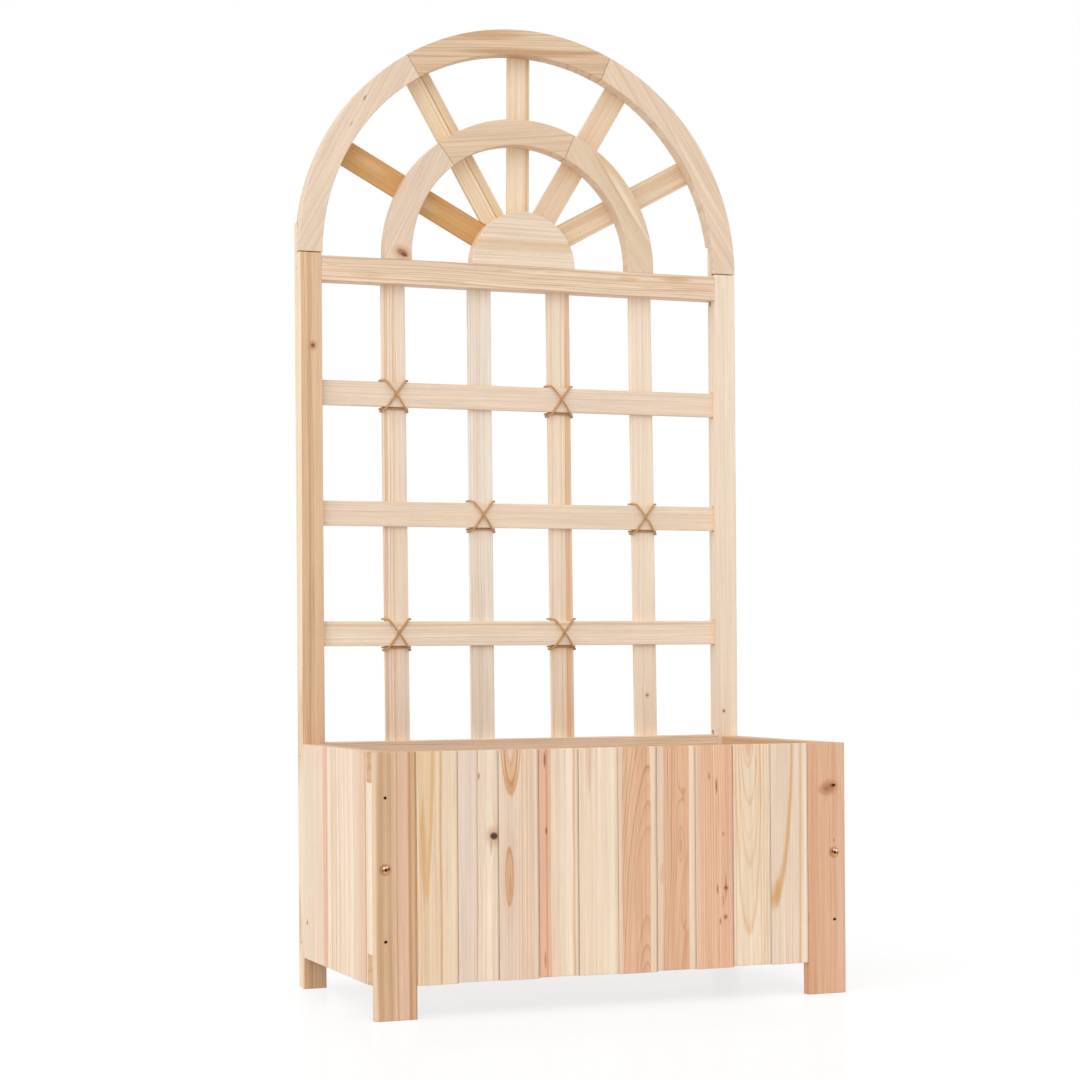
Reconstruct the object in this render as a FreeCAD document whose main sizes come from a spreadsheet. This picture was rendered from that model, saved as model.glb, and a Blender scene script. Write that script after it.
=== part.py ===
import FreeCAD, Part
import math
import os

# Planter box with a fan-topped trellis, in millimetres and degrees.
# X runs to the right, Y to the back and Z up; the origin is under the middle of the outer box.

DIMENSIONS = {
    # the whole
    "overall_width": 640,        # over the outer faces of the two posts
    "box_depth": 317,            # front face of the box to the front faces of the posts
    "arris": 0.7,                # broken edge of every board
    "joint_clear": 0.1,          # play on each side of tenons, tongues and fasteners
    # posts and rails
    "post_width": 31,
    "post_thick": 24,
    "post_height": 980,          # floor to the shoulder under the arch
    "tongue_rise": 41,           # tongue above the shoulder
    "tongue_front": 11,          # tongue's front face behind the post's front face
    "rail_height": 37,
    "top_rail_height": 33.5,
    "top_rail_drop": 3,          # top rail's upper edge below the posts' shoulders
    "back_rail_top": 327,
    "tenon_thick": 6,
    "tenon_length": 12,
    "tenon_shoulder": 6,         # above and below a rail's tenon
    "tenon_axis": 16,            # tenon's middle behind the post's front face
    "mortise_spare": 2,          # mortise past the tenon's end
    "slot_overrun": 7,           # rail mortise past the rail's edge
    "slot_inset": 3,             # rail mortise short of the rail's other edge
    # lattice
    "lattice_width": 33.5,
    "lattice_thick": 6,
    "bar_front": 9,              # bars' front face behind the post's front face
    "bar_slot_spare": 1.8,       # mortise above and below a bar
    "upper_bar_height": 795,
    "middle_bar_height": 633.5,
    "lower_bar_height": 472,
    "far_left_across": -183.4,    # middles of the four slats
    "mid_left_across": -60,
    "mid_right_across": 57.2,
    "far_right_across": 182.2,
    "far_left_lean": -0.3,
    "mid_left_lean": -0.15,
    "mid_right_lean": -0.35,
    "far_right_lean": -0.5,
    "slat_tenon": 12,
    # fan
    "ring_thick": 22,
    "arch_overhang": 0.5,        # outer arch past the posts' outer faces
    "shoulder_gap": 1.5,         # outer arch's feet above the posts' shoulders
    "arch_lip": 1.5,             # outer arch's inner edge past the posts' inner faces
    "outer_bore_drop": 1.5,      # centre of the outer arch's hollow below the centre of its rim
    "outer_joint_right": 66,
    "outer_joint_left": 121.5,
    "inner_radius": 197,
    "inner_width": 37.5,         # inner arch at its feet
    "inner_across": -3,          # middle of the inner arch, to the right of the trellis's middle
    "inner_rise": 4.5,           # centre of the inner arch's rim above the top rail
    "inner_bore_drop": -2,       # its hollow's centre lies above its rim's
    "inner_joint_right": 66.5,
    "inner_joint_left": 127.5,
    "hub_radius": 75,
    "spoke_thick": 6,
    "spoke_hub_lap": 8.5,
    "spoke_arch_lap": 20,
    "low_right_angle": 28.4,     # the five spokes
    "high_right_angle": 58.8,
    "upright_angle": 89.4,
    "high_left_angle": 120.1,
    "low_left_angle": 152.2,
    "low_right_width": 33.8,
    "high_right_width": 34.7,
    "upright_width": 32.5,
    "high_left_width": 35.5,
    "low_left_width": 34.8,
    "low_right_offset": 11,      # spoke's middle line to the left of the hub's centre, seen along it
    "high_right_offset": 4.2,
    "upright_offset": 0.9,
    "high_left_offset": -0.9,
    "low_left_offset": -11,
    # box
    "leg_width": 54.2,
    "panel_thick": 10,
    "panel_base": 41.5,          # lower ends of the boards above the floor
    "panel_top": 325,
    "board_uneven": 0.4,         # step between the lower ends of neighbouring boards
    "board_seam": 0.4,
    "board_tongue": 4,
    "board_tongue_thick": 3,
    "front_rail_thick": 19,
    "side_rail_thick": 14.5,
    "back_rabbet": 12,           # back boards' lap up the back top rail
    "floor_thick": 10,
    "floor_gap": 4.5,
    "floor_play": 1,             # floor boards to the posts
    # fasteners
    "dowel_radius": 4,
    "dowel_length": 40,
    "foot_dowel_length": 30,
    "hub_dowel_across": 40,
    "brad_radius": 1.5,
    "brad_length": 45,
    "leg_brad_length": 22,
    "spoke_brad_radius": 1,
    "spoke_brad_length": 20,
    "brad_sink": 1.5,
    "leg_fixing_inset": 15,      # screw and brads from the leg plank's outer edge
    "leg_screw_height": 183,
    "leg_upper_brad_height": 270,
    "leg_lower_brad_height": 96,
    "screw_head_radius": 5.2,
    "screw_head_depth": 3.2,
    "screw_shank_radius": 1.9,
    "screw_point": 4,
    "leg_screw_length": 25,
    "lap_screw_length": 20,
    "lap_screw_pitch": 18,
    "recess_width": 1.4,
    "recess_span": 5,
    "recess_depth": 1.7,
    # lashings
    "twine_radius": 1.4,
    "twine_gap": 0.45,           # twine to wood
    "twine_turn_gap": 0.5,       # one strand to the next
}

FRONT_BOARD_COUNT = 10
SIDE_BOARD_COUNT = 5
BACK_BOARD_COUNT = 10
FLOOR_BOARD_COUNT = 9
SLATS = ("far_left", "mid_left", "mid_right", "far_right")
SPOKES = ("low_right", "high_right", "upright", "high_left", "low_left")
BARS = ("upper", "middle", "lower")
LASHED = (("upper", "far_left"), ("upper", "mid_right"), ("middle", "mid_left"),
          ("middle", "far_right"), ("lower", "far_left"), ("lower", "mid_right"))
OVERCUT = "1"                    # how far a cutter runs past the face it opens

os.makedirs("parts", exist_ok=True)
doc = FreeCAD.newDocument("trellis_planter")
dims = doc.addObject("Spreadsheet::Sheet", "dims")
for row, (alias, size) in enumerate(DIMENSIONS.items(), start=1):
    dims.set(f"A{row}", alias.replace("_", " "))
    dims.set(f"B{row}", str(size))
    dims.setAlias(f"B{row}", alias)
doc.recompute()

# ---------------------------------------------------------------- places, as expressions
HALF = "(dims.overall_width / 2)"
FRONT = "(-(dims.box_depth + dims.ring_thick + dims.spoke_thick) / 2)"
PLANE = f"({FRONT} + dims.box_depth)"                     # front faces of posts, rails and rings
POST_INNER = f"({HALF} - dims.post_width)"
POST_BACK = f"({PLANE} + dims.post_thick)"
RAIL_FRONT = f"({FRONT} + dims.panel_thick)"              # front rails behind the boards
RAIL_BACK = f"({RAIL_FRONT} + dims.front_rail_thick)"
BOTTOM_RAIL_BASE = "(dims.panel_base + 2 * dims.board_uneven)"
BOTTOM_RAIL_TOP = f"({BOTTOM_RAIL_BASE} + dims.rail_height)"
BACK_RAIL_BASE = "(dims.back_rail_top - dims.rail_height)"
TOP_RAIL_TOP = "(dims.post_height - dims.top_rail_drop)"
TOP_RAIL_BASE = f"({TOP_RAIL_TOP} - dims.top_rail_height)"
SLAT_FRONT = f"({PLANE} + dims.bar_front + dims.lattice_thick)"
SLAT_BASE = "(dims.back_rail_top - dims.slat_tenon)"
SLAT_LENGTH = f"({TOP_RAIL_BASE} + dims.slat_tenon - {SLAT_BASE})"
RING_BACK = f"({PLANE} + dims.ring_thick)"
MORTISE_DEPTH = "(dims.tenon_length + dims.mortise_spare)"

# ---------------------------------------------------------------- the two arches, as expressions
RIM_RADIUS = {"outer": f"({HALF} + dims.arch_overhang)", "inner": "dims.inner_radius"}
BORE_RADIUS = {"outer": f"({POST_INNER} - dims.arch_lip)", "inner": "(dims.inner_radius - dims.inner_width)"}
RING_ACROSS = {"outer": "0", "inner": "dims.inner_across"}
RIM_RISE = {"outer": "(dims.post_height + dims.shoulder_gap)", "inner": f"({TOP_RAIL_TOP} + dims.inner_rise)"}
SPOKE_START = "(dims.hub_radius - dims.spoke_hub_lap)"
SPOKE_END = f"({BORE_RADIUS['outer']} + dims.spoke_arch_lap)"

# ---------------------------------------------------------------- directions for a piece's Z axis
UPRIGHT = "rotation(vector(0; 0; 1); 0)"
TO_FRONT = "rotation(vector(1; 0; 0); 90)"
TO_BACK = "rotation(vector(1; 0; 0); -90)"
TO_RIGHT = "rotation(vector(0; 1; 0); 90)"
TO_LEFT = "rotation(vector(0; 1; 0); -90)"


def frame_at(x, y, z, turn=UPRIGHT):
    """A local frame, as an expression."""
    return f"placement(vector({x}; {y}; {z}); {turn})"


def leaned(angle):
    """Turn about the Y axis that carries X towards Z."""
    return f"rotation(vector(0; 1; 0); -({angle}))"


def spun(angle):
    """Turn about the Z axis."""
    return f"rotation(vector(0; 0; 1); {angle})"


WORLD = frame_at("0", "0", "0")
nodes = {}


def place(item, corner, lay=UPRIGHT, frame=WORLD):
    x, y, z = corner
    item.setExpression("Placement", f"{frame} * placement(vector({x}; {y}; {z}); {lay})")
    return item


def new(kind, name):
    return doc.addObject(f"Part::{kind}", name)


def size(item, **lengths):
    for side, length in lengths.items():
        item.setExpression(side, length)
    return item


def box(name, lengths, corner, frame=WORLD):
    item = size(new("Box", name), Length=lengths[0], Width=lengths[1], Height=lengths[2])
    return place(item, corner, UPRIGHT, frame)


def rod(name, radius, length, start, lay=UPRIGHT, frame=WORLD):
    item = size(new("Cylinder", name), Radius=radius, Height=length)
    return place(item, start, lay, frame)


def taper(name, low_radius, high_radius, height, start, frame):
    item = size(new("Cone", name), Radius1=low_radius, Radius2=high_radius, Height=height)
    return place(item, start, UPRIGHT, frame)


def sector(name, radius, thick, angle, frame):
    """Disc sector facing the front, opened anticlockwise from the frame's X axis."""
    item = size(new("Cylinder", name), Radius=radius, Height=thick, Angle=angle)
    return place(item, ("0", "0", "0"), TO_FRONT, frame)


def board(name, lengths, corner, frame=WORLD):
    """Box with every arris broken."""
    blank = box(f"{name}_blank", lengths, corner, frame)
    eased = new("Chamfer", f"{name}_eased")
    eased.Base = blank
    eased.Edges = [(edge, dims.arris, dims.arris) for edge in range(1, 13)]
    return eased


def eased_arcs(name, blank):
    """The blank with its long curved edges broken."""
    doc.recompute()
    arcs = [number for number, edge in enumerate(blank.Shape.Edges, start=1)
            if edge.Curve.TypeId == "Part::GeomCircle"]
    eased = new("Chamfer", f"{name}_eased")
    eased.Base = blank
    eased.Edges = [(edge, dims.arris, dims.arris) for edge in arcs]
    return eased


def joined(name, pieces):
    whole = new("MultiFuse", name)
    whole.Shapes = pieces
    return whole


def cut(name, blank, cutters):
    carved = new("Cut", name)
    carved.Base = blank
    carved.Tool = cutters[0] if len(cutters) == 1 else joined(f"{name}_cutters", cutters)
    return carved


def group(name, pieces):
    whole = new("Compound", name)
    whole.Links = pieces
    return whole


def keep(label, item):
    item.Label = label
    nodes[label] = item
    return item


# ---------------------------------------------------------------- fasteners and their holes
def bore(name, radius, length, start, lay=UPRIGHT, frame=WORLD):
    return rod(name, f"{radius} + dims.joint_clear", length, start, lay, frame)


def screw(name, length, frame):
    """Countersunk cross-head screw; its head's face is the frame's XY plane and it runs down -Z."""
    thread = f"({length} - dims.screw_head_depth - dims.screw_point)"
    head = taper(f"{name}_head", "dims.screw_shank_radius", "dims.screw_head_radius",
                 "dims.screw_head_depth", ("0", "0", "-dims.screw_head_depth"), frame)
    shank = rod(f"{name}_shank", "dims.screw_shank_radius", thread,
                ("0", "0", f"-dims.screw_head_depth - {thread}"), UPRIGHT, frame)
    point = taper(f"{name}_point", "0", "dims.screw_shank_radius", "dims.screw_point",
                  ("0", "0", f"-({length})"), frame)
    arms = []
    for number, (along, across) in enumerate((("span", "width"), ("width", "span"))):
        arms.append(box(f"{name}_recess_{number}",
                        (f"dims.recess_{along}", f"dims.recess_{across}", f"dims.recess_depth + {OVERCUT}"),
                        (f"-dims.recess_{along} / 2", f"-dims.recess_{across} / 2", "-dims.recess_depth"),
                        frame))
    return cut(name, joined(f"{name}_turned", [head, shank, point]), arms)


def screw_bore(name, length, frame):
    flare = "(dims.screw_head_radius - dims.screw_shank_radius) / dims.screw_head_depth"
    sink = taper(f"{name}_sink", "dims.screw_shank_radius + dims.joint_clear",
                 f"dims.screw_head_radius + dims.joint_clear + {OVERCUT} * {flare}",
                 f"dims.screw_head_depth + {OVERCUT}", ("0", "0", "-dims.screw_head_depth"), frame)
    shaft = bore(f"{name}_shaft", "dims.screw_shank_radius", f"{length} + dims.joint_clear",
                 ("0", "0", f"-({length} + dims.joint_clear)"), UPRIGHT, frame)
    return [sink, shaft]


def brad(name, length, frame, radius="dims.brad_radius"):
    """Headless nail, set below the face that is the frame's XY plane."""
    return rod(name, radius, length, ("0", "0", f"-dims.brad_sink - {length}"), UPRIGHT, frame)


def brad_bore(name, length, frame, radius="dims.brad_radius"):
    deep = f"(dims.brad_sink + {length} + dims.joint_clear)"
    return bore(name, radius, f"{deep} + {OVERCUT}", ("0", "0", f"-{deep}"), UPRIGHT, frame)


SIDES = {"left": -1, "right": 1}
OUTWARD = {"left": TO_LEFT, "right": TO_RIGHT}
POST_RAILS = ("top", "back_top", "back_bottom")
RAIL_BASE = {
    "top": TOP_RAIL_BASE,
    "back_top": BACK_RAIL_BASE,
    "back_bottom": BOTTOM_RAIL_BASE,
}
RAIL_THICK = {
    "top": "dims.post_thick",
    "back_top": "dims.post_thick",
    "back_bottom": "(dims.post_thick - dims.panel_thick)",
}
RAIL_HEIGHT = {
    "top": "dims.top_rail_height",
    "back_top": "dims.rail_height",
    "back_bottom": "dims.rail_height",
}
TENON_AXIS = {                   # tenon's middle behind the post's front face
    "top": "dims.tenon_axis",
    "back_top": "dims.tenon_axis",
    "back_bottom": f"({RAIL_THICK['back_bottom']} / 2)",
}
SLOT_ENDS = {                    # the mortise past the rail's lower and upper edges
    "top": ("dims.slot_overrun", "-dims.slot_inset"),
    "back_top": ("-dims.slot_inset", "dims.slot_overrun"),
    "back_bottom": ("-dims.slot_inset", "dims.slot_overrun"),
}
LEG_FIXING_ACROSS = f"({HALF} - dims.leg_fixing_inset)"
LAP_SCREW_HEIGHTS = [f"(dims.post_height + dims.tongue_rise / 2 {sign} dims.lap_screw_pitch / 2)"
                     for sign in "-+"]


def rail_brad_frame(side, rail):
    return frame_at(f"{SIDES[side]} * {HALF}", f"{PLANE} + dims.post_thick / 2",
                    f"{RAIL_BASE[rail]} + {RAIL_HEIGHT[rail]} / 2", OUTWARD[side])


def leg_fixing_frame(side, height):
    return frame_at(f"{SIDES[side]} * {LEG_FIXING_ACROSS}", FRONT, height, TO_FRONT)


def lap_screw_frame(side, height):
    return frame_at(f"{SIDES[side]} * ({HALF} - dims.post_width / 2)", POST_BACK, height, TO_BACK)


# ---------------------------------------------------------------- posts, rails and lattice
def slot(name, inner_x, axis, low, high, tenon):
    """Round-ended mortise across the inner face of a post; axis is its middle behind the front face."""
    thick = f"({tenon} + 2 * dims.joint_clear)"
    radius = f"({thick} / 2)"
    middle = f"({PLANE} + {axis})"
    width = f"(2 * {MORTISE_DEPTH})"
    corner_x = f"{inner_x} - {MORTISE_DEPTH}"
    body = box(f"{name}_body", (width, thick, f"{high} - {low} - {thick}"),
               (corner_x, f"{middle} - {radius}", f"{low} + {radius}"))
    ends = [rod(f"{name}_{end}", radius, width, (corner_x, middle, height), TO_RIGHT)
            for end, height in (("low", f"{low} + {radius}"), ("high", f"{high} - {radius}"))]
    return [body] + ends


def bar_height(bar):
    return f"dims.{bar}_bar_height"


def post(side):
    sign = SIDES[side]
    name = f"post_{side}"
    corner_x = f"{sign} * {HALF}" if side == "left" else POST_INNER
    inner_x = f"{sign} * {POST_INNER}"
    blank = board(name, ("dims.post_width", "dims.post_thick", "dims.post_height + dims.tongue_rise"),
                  (corner_x, PLANE, "0"))
    lap = box(f"{name}_lap", (f"dims.post_width + 2 * {OVERCUT}", f"dims.tongue_front + {OVERCUT}",
                              f"dims.tongue_rise + {OVERCUT}"),
              (f"{corner_x} - {OVERCUT}", f"{PLANE} - {OVERCUT}", "dims.post_height"))
    cutters = [lap]
    for rail in POST_RAILS:
        below, above = SLOT_ENDS[rail]
        cutters += slot(f"{name}_{rail}_slot", inner_x, TENON_AXIS[rail], f"({RAIL_BASE[rail]} - ({below}))",
                        f"({RAIL_BASE[rail]} + {RAIL_HEIGHT[rail]} + ({above}))", "dims.tenon_thick")
        cutters.append(brad_bore(f"{name}_{rail}_brad_bore", "dims.brad_length", rail_brad_frame(side, rail)))
    for bar in BARS:
        reach = "(dims.lattice_width / 2 + dims.bar_slot_spare)"
        cutters += slot(f"{name}_{bar}_slot", inner_x, "(dims.bar_front + dims.lattice_thick / 2)",
                        f"({bar_height(bar)} - {reach})", f"({bar_height(bar)} + {reach})",
                        "dims.lattice_thick")
    for number, height in enumerate(LAP_SCREW_HEIGHTS):
        cutters += screw_bore(f"{name}_lap_bore_{number}", "dims.lap_screw_length",
                              lap_screw_frame(side, height))
    keep(name, cut(name, blank, cutters))


def tenoned_rail(rail, cutters):
    """Rail between the posts, with a tenon at each end."""
    name = f"{rail}_rail"
    base = RAIL_BASE[rail]
    body = board(name, (f"2 * {POST_INNER}", RAIL_THICK[rail], RAIL_HEIGHT[rail]),
                 (f"-{POST_INNER}", PLANE, base))
    reach = f"({POST_INNER} + dims.tenon_length)"
    tenon = box(f"{name}_tenon",
                (f"2 * {reach}", "dims.tenon_thick", f"{RAIL_HEIGHT[rail]} - 2 * dims.tenon_shoulder"),
                (f"-{reach}", f"{PLANE} + {TENON_AXIS[rail]} - dims.tenon_thick / 2",
                 f"{base} + dims.tenon_shoulder"))
    keep(name, cut(name, joined(f"{name}_with_tenons", [body, tenon]), cutters + rail_brad_bores(rail)))


def rail_brad_bores(rail):
    return [brad_bore(f"{rail}_rail_brad_bore_{side}", "dims.brad_length", rail_brad_frame(side, rail))
            for side in SIDES]


def slat_frame(slat):
    """Frame at the middle of a slat's front face, leaning with it."""
    middle = f"{SLAT_BASE} + {SLAT_LENGTH} / 2"
    return frame_at(f"dims.{slat}_across", SLAT_FRONT, middle, leaned(f"-dims.{slat}_lean"))


def slat_mortises(rail):
    spare = "dims.joint_clear"
    return [box(f"{rail}_slat_mortise_{slat}",
                (f"dims.lattice_width + 2 * {spare}", f"dims.lattice_thick + 2 * {spare}",
                 f"{SLAT_LENGTH} + 2 * {spare}"),
                (f"-dims.lattice_width / 2 - {spare}", f"-{spare}", f"-{SLAT_LENGTH} / 2 - {spare}"),
                slat_frame(slat))
            for slat in SLATS]


FOOT_DOWEL_ACROSS = "(dims.inner_radius - dims.inner_width / 2)"
TOP_RAIL_DOWELS = {
    "foot_left": f"(dims.inner_across - {FOOT_DOWEL_ACROSS})",
    "hub_left": "-dims.hub_dowel_across",
    "hub_right": "dims.hub_dowel_across",
    "foot_right": f"(dims.inner_across + {FOOT_DOWEL_ACROSS})",
}


def rail_dowel(kind, name, where):
    """Upright dowel or dowel bore, half in the top rail and half in the fan."""
    start = (TOP_RAIL_DOWELS[where], f"{PLANE} + dims.ring_thick / 2",
             f"{TOP_RAIL_TOP} - dims.foot_dowel_length / 2")
    return kind(name, "dims.dowel_radius", "dims.foot_dowel_length", start)


def top_rail():
    dowel_bores = [rail_dowel(bore, f"top_rail_{where}_bore", where) for where in TOP_RAIL_DOWELS]
    tenoned_rail("top", slat_mortises("top") + dowel_bores)


def back_rails():
    rabbet = box("back_rabbet", (f"2 * {POST_INNER} + 2 * {OVERCUT}", f"dims.panel_thick + {OVERCUT}",
                                 f"dims.back_rabbet + {OVERCUT}"),
                 (f"-{POST_INNER} - {OVERCUT}", f"{POST_BACK} - dims.panel_thick",
                  f"{BACK_RAIL_BASE} - {OVERCUT}"))
    tenoned_rail("back_top", slat_mortises("back_top") + [rabbet])
    tenoned_rail("back_bottom", [])


def lattice():
    reach = f"({POST_INNER} + dims.tenon_length)"
    for bar in BARS:
        name = f"lattice_bar_{bar}"
        keep(name, board(name, (f"2 * {reach}", "dims.lattice_thick", "dims.lattice_width"),
                         (f"-{reach}", f"{PLANE} + dims.bar_front",
                          f"{bar_height(bar)} - dims.lattice_width / 2")))
    for slat in SLATS:
        name = f"lattice_slat_{slat}"
        keep(name, board(name, ("dims.lattice_width", "dims.lattice_thick", SLAT_LENGTH),
                         ("-dims.lattice_width / 2", "0", f"-{SLAT_LENGTH} / 2"), slat_frame(slat)))


# ---------------------------------------------------------------- fan
def fan_frame(rise, angle="0", across="0"):
    """Frame on the rings' back faces, its X axis along a radius."""
    return frame_at(across, RING_BACK, rise, leaned(angle))


JOINT_DOWELS = {
    "outer_right": ("outer", "dims.outer_joint_right"),
    "outer_left": ("outer", "dims.outer_joint_left"),
    "inner_right": ("inner", "dims.inner_joint_right"),
    "inner_left": ("inner", "dims.inner_joint_left"),
}


def joint_dowel(kind, name, where):
    """Dowel or dowel bore square across a radial joint, mid-way through the ring."""
    ring, angle = JOINT_DOWELS[where]
    start = (f"({RIM_RADIUS[ring]} + {BORE_RADIUS[ring]}) / 2", "-dims.ring_thick / 2",
             "-dims.dowel_length / 2")
    return kind(name, "dims.dowel_radius", "dims.dowel_length", start, UPRIGHT,
                fan_frame(RIM_RISE[ring], angle, RING_ACROSS[ring]))


def ring_segment(ring, part, start_angle, end_angle, joints, feet):
    name = f"{ring}_arch_{part}"
    disc = sector(f"{name}_disc", RIM_RADIUS[ring], "dims.ring_thick", f"{end_angle} - ({start_angle})",
                  fan_frame(RIM_RISE[ring], start_angle, RING_ACROSS[ring]))
    hollow = rod(f"{name}_hollow", BORE_RADIUS[ring], f"dims.ring_thick + 2 * {OVERCUT}",
                 ("0", OVERCUT, "0"), TO_FRONT,
                 fan_frame(f"{RIM_RISE[ring]} - dims.{ring}_bore_drop", "0", RING_ACROSS[ring]))
    blank = eased_arcs(name, cut(f"{name}_blank", disc, [hollow]))
    cutters = [joint_dowel(bore, f"{name}_{where}_bore", where) for where in joints]
    keep(name, cut(name, blank, cutters + feet + spoke_brad_bores(name)))


def lap_cutters(side):
    """Room for a post's tongue and its screws in the outer arch's foot."""
    wide = "3 * dims.post_width"
    lap = box(f"outer_arch_{side}_lap",
              (wide, f"dims.post_thick - dims.tongue_front + dims.joint_clear + {OVERCUT}",
               f"dims.tongue_rise + dims.joint_clear + {OVERCUT}"),
              (f"{SIDES[side]} * ({HALF} - dims.post_width / 2) - {wide} / 2",
               f"{PLANE} + dims.tongue_front - dims.joint_clear", f"dims.post_height - {OVERCUT}"))
    holes = []
    for number, height in enumerate(LAP_SCREW_HEIGHTS):
        holes += screw_bore(f"outer_arch_{side}_lap_bore_{number}", "dims.lap_screw_length",
                            lap_screw_frame(side, height))
    return [lap] + holes


def foot_cutters(side):
    """Level cut of the inner arch's foot on the top rail, with its dowel's bore."""
    depth = "dims.rail_height"
    level = box(f"inner_arch_{side}_level",
                ("3 * dims.inner_radius", f"dims.ring_thick + 2 * {OVERCUT}", depth),
                ("-1.5 * dims.inner_radius", f"{PLANE} - {OVERCUT}", f"{TOP_RAIL_TOP} - {depth}"))
    return [level, rail_dowel(bore, f"inner_arch_{side}_foot_bore", f"foot_{side}")]


def arches():
    ring_segment("outer", "right", "0", "dims.outer_joint_right", ["outer_right"], lap_cutters("right"))
    ring_segment("outer", "top", "dims.outer_joint_right", "dims.outer_joint_left",
                 ["outer_right", "outer_left"], [])
    ring_segment("outer", "left", "dims.outer_joint_left", "180", ["outer_left"], lap_cutters("left"))
    below = "10"                 # degrees below the level, cut off again by the foot
    ring_segment("inner", "right", f"-{below}", "dims.inner_joint_right", ["inner_right"],
                 foot_cutters("right"))
    ring_segment("inner", "top", "dims.inner_joint_right", "dims.inner_joint_left",
                 ["inner_right", "inner_left"], [])
    ring_segment("inner", "left", "dims.inner_joint_left", f"180 + {below}", ["inner_left"],
                 foot_cutters("left"))


def hub():
    disc = sector("hub_disc", "dims.hub_radius", "dims.ring_thick", "180", fan_frame(TOP_RAIL_TOP))
    cutters = [rail_dowel(bore, f"hub_{where}_bore", where) for where in ("hub_left", "hub_right")]
    keep("hub", cut("hub", eased_arcs("hub", disc), cutters + spoke_brad_bores("hub")))


def spoke_frame(spoke):
    """Frame on the rings' back faces, its X axis along the spoke's middle line."""
    return fan_frame(TOP_RAIL_TOP, f"dims.{spoke}_angle")


SPOKE_BRAD_REACH = {
    "hub": f"(dims.hub_radius + {SPOKE_START}) / 2",
    "inner": f"({RIM_RADIUS['inner']} + {BORE_RADIUS['inner']}) / 2",
    "outer": f"({SPOKE_END} + {BORE_RADIUS['outer']}) / 2",
}
SPOKES_ON = {
    "hub": SPOKES,
    "outer_arch_right": SPOKES[:2],
    "outer_arch_top": SPOKES[1:4],
    "outer_arch_left": SPOKES[3:],
    "inner_arch_right": SPOKES[:2],
    "inner_arch_top": SPOKES[1:4],
    "inner_arch_left": SPOKES[3:],
}


def spoke_brad_frame(spoke, where):
    """Frame on a spoke's back face, where a brad goes in."""
    local = frame_at(SPOKE_BRAD_REACH[where], "dims.spoke_thick + dims.brad_sink",
                     f"dims.{spoke}_offset", TO_BACK)
    return f"{spoke_frame(spoke)} * {local}"


def spoke_brad(kind, name, spoke, where):
    return kind(name, "dims.spoke_brad_length", spoke_brad_frame(spoke, where), "dims.spoke_brad_radius")


def spoke_brad_bores(name):
    where = name.split("_")[0]
    return [spoke_brad(brad_bore, f"{name}_{spoke}_brad_bore", spoke, where) for spoke in SPOKES_ON[name]]


def spoke_room(name, neighbour):
    """Room for the next spoke where the two would meet on the hub."""
    width = f"(dims.{neighbour}_width + 2 * dims.board_seam)"
    return box(f"{name}_mitre", (SPOKE_END, f"dims.spoke_thick + 2 * {OVERCUT}", width),
               ("0", f"-{OVERCUT}", f"dims.{neighbour}_offset - {width} / 2"), spoke_frame(neighbour))


def spokes():
    for spoke, neighbour in zip(SPOKES, SPOKES[1:] + (None,)):
        name = f"spoke_{spoke}"
        width = f"dims.{spoke}_width"
        blank = board(name, (f"{SPOKE_END} - {SPOKE_START}", "dims.spoke_thick", width),
                      (SPOKE_START, "0", f"dims.{spoke}_offset - {width} / 2"), spoke_frame(spoke))
        cutters = [spoke_brad(brad_bore, f"{name}_{where}_bore", spoke, where) for where in SPOKE_BRAD_REACH]
        if neighbour:
            cutters.append(spoke_room(name, neighbour))
        keep(name, cut(name, blank, cutters))


# ---------------------------------------------------------------- box
def tongued_board(name, width, corner, height, frame, tongue=True, groove=True):
    """Upright board, its face in the frame's XZ plane, with a tongue at its left and a groove at its right."""
    x, y, z = corner
    inner_width = f"({width} - dims.board_seam)"
    left = f"({x} + dims.board_seam / 2)"
    item = board(name, (inner_width, "dims.panel_thick", height), (left, y, z), frame)
    middle = f"({y} + dims.panel_thick / 2)"
    if tongue:
        lip = box(f"{name}_lip", (f"dims.board_tongue + {OVERCUT}", "dims.board_tongue_thick",
                                  f"{height} - 2 * {OVERCUT}"),
                  (f"{left} - dims.board_tongue", f"{middle} - dims.board_tongue_thick / 2",
                   f"{z} + {OVERCUT}"), frame)
        item = joined(f"{name}_lipped", [item, lip])
    if groove:
        wide = "(dims.board_tongue_thick + 2 * dims.joint_clear)"
        channel = box(f"{name}_channel", (f"dims.board_tongue + {OVERCUT}", wide, f"{height} + 2 * {OVERCUT}"),
                      (f"{left} + {inner_width} - dims.board_tongue", f"{middle} - {wide} / 2",
                       f"{z} - {OVERCUT}"), frame)
        item = cut(f"{name}_grooved", item, [channel])
    return item


PANEL_HEIGHT = "(dims.panel_top - dims.panel_base)"


def front():
    face = frame_at("0", FRONT, "0")
    width = f"((dims.overall_width - 2 * dims.leg_width) / {FRONT_BOARD_COUNT})"
    for number in range(FRONT_BOARD_COUNT):
        name = f"front_board_{number + 1:02d}"
        drop = f"({number * 3 % 5 - 2} * dims.board_uneven)"
        keep(name, tongued_board(name, width, (f"{number} * {width} + dims.leg_width - {HALF}", "0",
                                               f"dims.panel_base + {drop}"),
                                 f"{PANEL_HEIGHT} - {drop}", face))
    for side in SIDES:
        name = f"front_leg_{side}"
        corner_x = f"-{HALF}" if side == "left" else f"{HALF} - dims.leg_width"
        plank = tongued_board(name, "dims.leg_width", (corner_x, "0", "0"), "dims.panel_top", face,
                              tongue=side == "right", groove=side == "left")
        keep(name, cut(name, plank, leg_fixing_bores(name, side)))


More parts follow.
